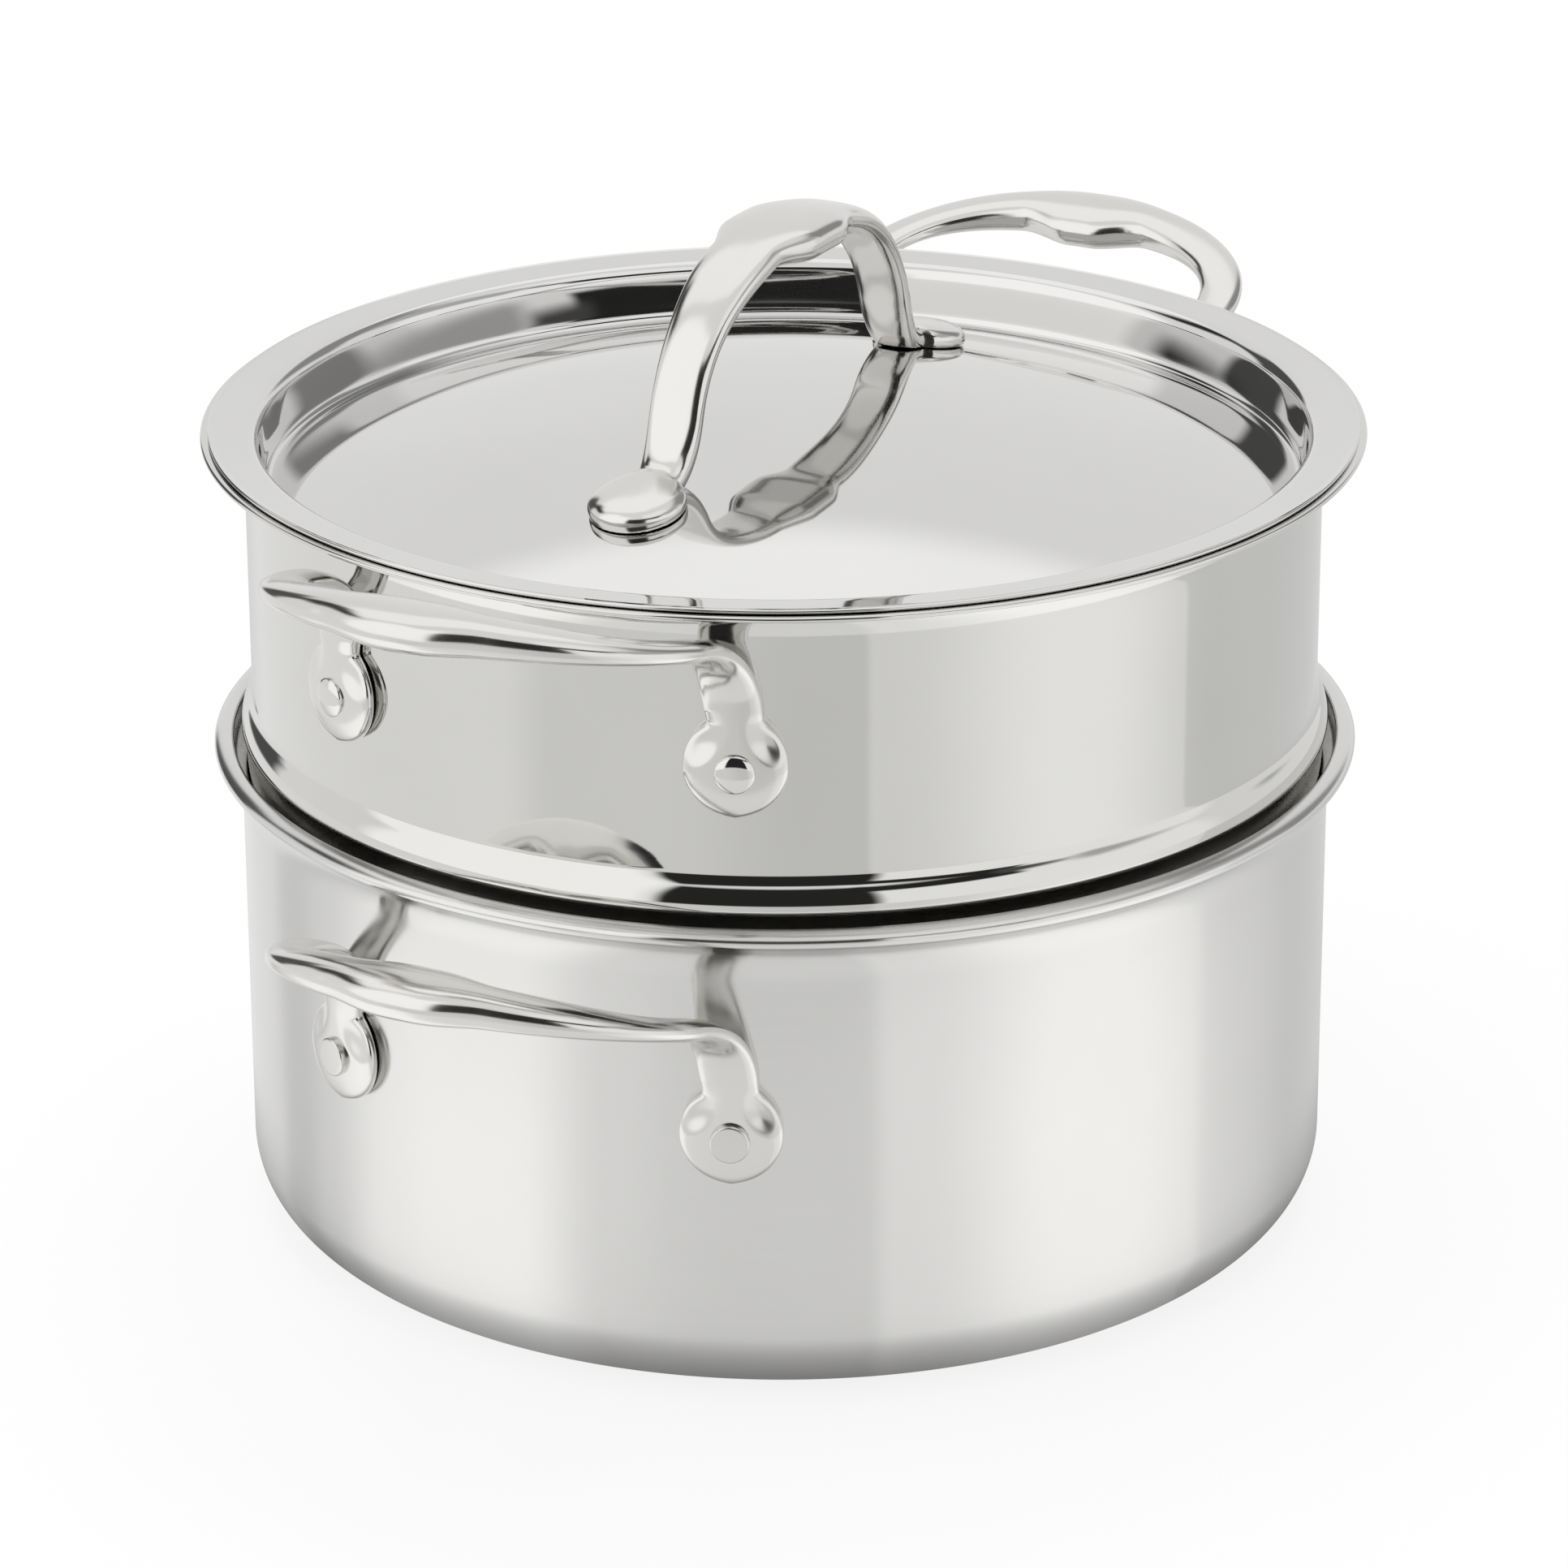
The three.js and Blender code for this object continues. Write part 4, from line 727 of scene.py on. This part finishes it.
def floor_material():
    """White floor with bands of light on it, which show in the steel, and the object's shadow.

    A point of the floor shows in the wall at one bearing t of the camera's side, where the ratio
    of wall radius to distance, times the sine of t, is the sine of 2t less the point's own
    bearing. Each band is a soft-edged range of t, one set near the pot and one set further out,
    where the insert's wall shows it, and the floor darkens under the pot's base. The two sets meet
    at the point that the pot's lip shows: the wall's radius and the ray's run to the floor, added
    as two sides of a triangle with the angle t outside it.
    """
    material = bpy.data.materials.new("white_floor")
    material.use_nodes = True
    w = Wiring(material.node_tree)
    place = w.new("ShaderNodeTexCoord").outputs["Object"]
    right, near = w.along(rightward, place), w.along(-toward, place)
    away = w.calc("SQRT", w.calc("ADD", w.calc("MULTIPLY", right, right), w.calc("MULTIPLY", near, near)))
    own = w.calc("ARCTAN2", right, near)
    ratio = w.calc("MINIMUM", w.calc("DIVIDE", POT_OUTER * MM, away), 1.0)
    guess = w.calc("DIVIDE", own, w.calc("SUBTRACT", 2.0, ratio))
    swing = w.calc("ARCSINE", w.calc("MULTIPLY", ratio, w.calc("SINE", guess)))
    bearing = w.calc("MULTIPLY", w.calc("ADD", own, swing), 90 / math.pi)

    def banded(level, bands):
        """Adds each band's gain between its left and right bearing, with its own soft ends."""
        for gain, left, right_end, soft_left, soft_right in bands:
            rise = w.ramp(bearing, left - soft_left, left + soft_left, 0.0, gain)
            fall = w.ramp(bearing, right_end - soft_right, right_end + soft_right, 0.0, gain)
            level = w.calc("ADD", level, w.calc("SUBTRACT", rise, fall))
        return level

    # painted light: bright and dark bands in the floor's glow, which only the steel's reflections show
    near_level = banded(0.86, (
        (0.04, -85, -69, 4, 2), (-0.16, -68, -60, 2, 3), (0.31, -52, -24, 5, 5),
        (0.08, -44, -15, 5, 9), (0.13, 9.5, 48.8, 1.3, 0.5), (0.30, 22, 48.5, 9, 12),
        (-0.16, 63, 100, 6, 3),
    ))
    far_level = banded(0.672, (
        (0.12, -80, -28, 6, 3), (0.11, -80, -5.5, 6, 7),
        (0.15, 8.75, 47.2, 0.6, 0.4), (0.245, 20.5, 43.5, 10, 9),
    ))
    wall, run = POT_OUTER * MM, POT_HEIGHT * MM / math.tan(CAMERA_PITCH)
    cosine = w.calc("COSINE", w.calc("MULTIPLY", bearing, math.pi / 180))
    corner = w.calc("MULTIPLY", 2 * wall * run, cosine)
    limit = w.calc("SQRT", w.calc("ADD", wall ** 2 + run ** 2, corner))
    far = w.ramp(w.calc("SUBTRACT", away, limit), -0.012, 0.018)
    level = w.calc("ADD", w.calc("MULTIPLY", near_level, w.calc("SUBTRACT", 1.0, far)),
                   w.calc("MULTIPLY", far_level, far))
    # painted shadow: the floor's glow dims towards the pot's base, on top of the lamp's real shadow
    level = w.calc("MULTIPLY", level, w.ramp(away, BASE_EDGE, BASE_FADE, BASE_LEVEL, 1.0))
    ray = w.new("ShaderNodeLightPath")
    seen = ray.outputs["Is Camera Ray"]
    level = w.calc("ADD", w.calc("MULTIPLY", level, w.calc("SUBTRACT", 1.0, seen)), seen)
    glow, matt = w.new("ShaderNodeEmission"), w.new("ShaderNodeBsdfDiffuse")
    w.link(level, glow.inputs["Strength"])
    matt.inputs["Color"].default_value = (0.9, 0.9, 0.9, 1)
    glossy = w.calc("MULTIPLY", ray.outputs["Is Glossy Ray"], GLOSSY_SHARE)
    share = w.calc("MAXIMUM", w.calc("MULTIPLY", seen, CAMERA_SHARE), glossy)
    blend, out = w.new("ShaderNodeMixShader"), w.new("ShaderNodeOutputMaterial")
    w.link(share, blend.inputs["Fac"])
    w.link(matt.outputs[0], blend.inputs[1])
    w.link(glow.outputs[0], blend.inputs[2])
    w.link(blend.outputs[0], out.inputs["Surface"])
    return material


def make_floor():
    """A flat round floor just under the pot's base."""
    turn = np.linspace(0, 2 * np.pi, FLOOR_CORNERS, endpoint=False)
    level = np.full(FLOOR_CORNERS, -FLOOR_DROP)
    rim = np.stack([FLOOR_RADIUS * np.cos(turn), FLOOR_RADIUS * np.sin(turn), level], 1)
    mesh = bpy.data.meshes.new("floor")
    mesh.from_pydata(rim.tolist(), [], [list(range(FLOOR_CORNERS))])
    floor = bpy.data.objects.new("floor", mesh)
    bpy.context.collection.objects.link(floor)
    mesh.materials.append(floor_material())


make_floor()


# Studio cards: level, bearing from and to, height from and to, and soft edge, in degrees
STUDIO_LEVEL = 0.88
STUDIO_CARDS = (
    (1.12, -190, -112, 41, 84, 3),
    (1.12, 150, 190, 41, 84, 3),
    (1.04, 14, 97, -40, 72, 4),
    (0.024, -26, 19, -5, 44, 2),
    (0.024, 16, 54, 30, 44, 2),
    (0.08, 50, 68, 36, 44, 3),
    (1.2, -94, -28, -40, 62, 4),
    (0.09, -155, -128, -5, 30, 3),
    (0.032, -140, -104, 28, 44, 5),
    (0.5, 68, 122, 28, 50, 5),
    (0.31, 118, 150, 12, 50, 5),
)


def make_world():
    """Studio round the object, by direction: white, with a dark side behind the camera.

    The direction's parts along the camera's side, its right and up give a bearing and a height in
    degrees, and each card is a soft-edged patch of bearing and height.
    """
    world = bpy.data.worlds.new("studio")
    bpy.context.scene.world = world
    world.use_nodes = True
    w = Wiring(world.node_tree)
    vector = w.new("ShaderNodeTexCoord").outputs["Generated"]
    side, right, up = w.along(-toward, vector), w.along(rightward, vector), w.along(UP, vector)
    bearing = w.calc("MULTIPLY", w.calc("ARCTAN2", right, side), 180 / math.pi)
    height = w.calc("MULTIPLY", w.calc("ARCSINE", up), 180 / math.pi)
    level = STUDIO_LEVEL
    for value, left, right_end, low, high, soft in STUDIO_CARDS:
        across = w.calc("MULTIPLY", w.ramp(bearing, left - soft, left + soft),
                        w.ramp(bearing, right_end + soft, right_end - soft))
        upward = w.calc("MULTIPLY", w.ramp(height, low - soft, low + soft),
                        w.ramp(height, high + soft, high - soft))
        mask = w.calc("MULTIPLY", across, upward)
        held = w.calc("MULTIPLY", level, w.calc("SUBTRACT", 1.0, mask))
        level = w.calc("ADD", held, w.calc("MULTIPLY", mask, value))
    seen = w.new("ShaderNodeLightPath").outputs["Is Camera Ray"]
    level = w.calc("ADD", w.calc("MULTIPLY", level, w.calc("SUBTRACT", 1.0, seen)), seen)
    glow, out = w.new("ShaderNodeBackground"), w.new("ShaderNodeOutputWorld")
    glow.inputs["Color"].default_value = (1, 1, 1, 1)
    w.link(level, glow.inputs["Strength"])
    w.link(glow.outputs[0], out.inputs["Surface"])


make_world()


def make_lamp(name, place, size, power):
    """A square soft lamp aimed at the middle of the pot, for the shadow on the floor."""
    data = bpy.data.lights.new(name, "AREA")
    data.size, data.energy = size, power
    lamp = bpy.data.objects.new(name, data)
    bpy.context.collection.objects.link(lamp)
    lamp.visible_glossy = False
    back = np.asarray(place, float) - [0, 0, 0.1]
    back /= np.linalg.norm(back)
    x = np.cross(UP, back)
    x /= np.linalg.norm(x)
    matrix = np.eye(4)
    matrix[:3, :3], matrix[:3, 3] = np.stack([x, np.cross(back, x), back], 1), place
    lamp.matrix_world = matrix.T.tolist()


make_lamp("top_lamp", place=toward * 0.5 + UP * 2.2, size=1.6, power=22)

bpy.context.scene.view_settings.view_transform = "Standard"
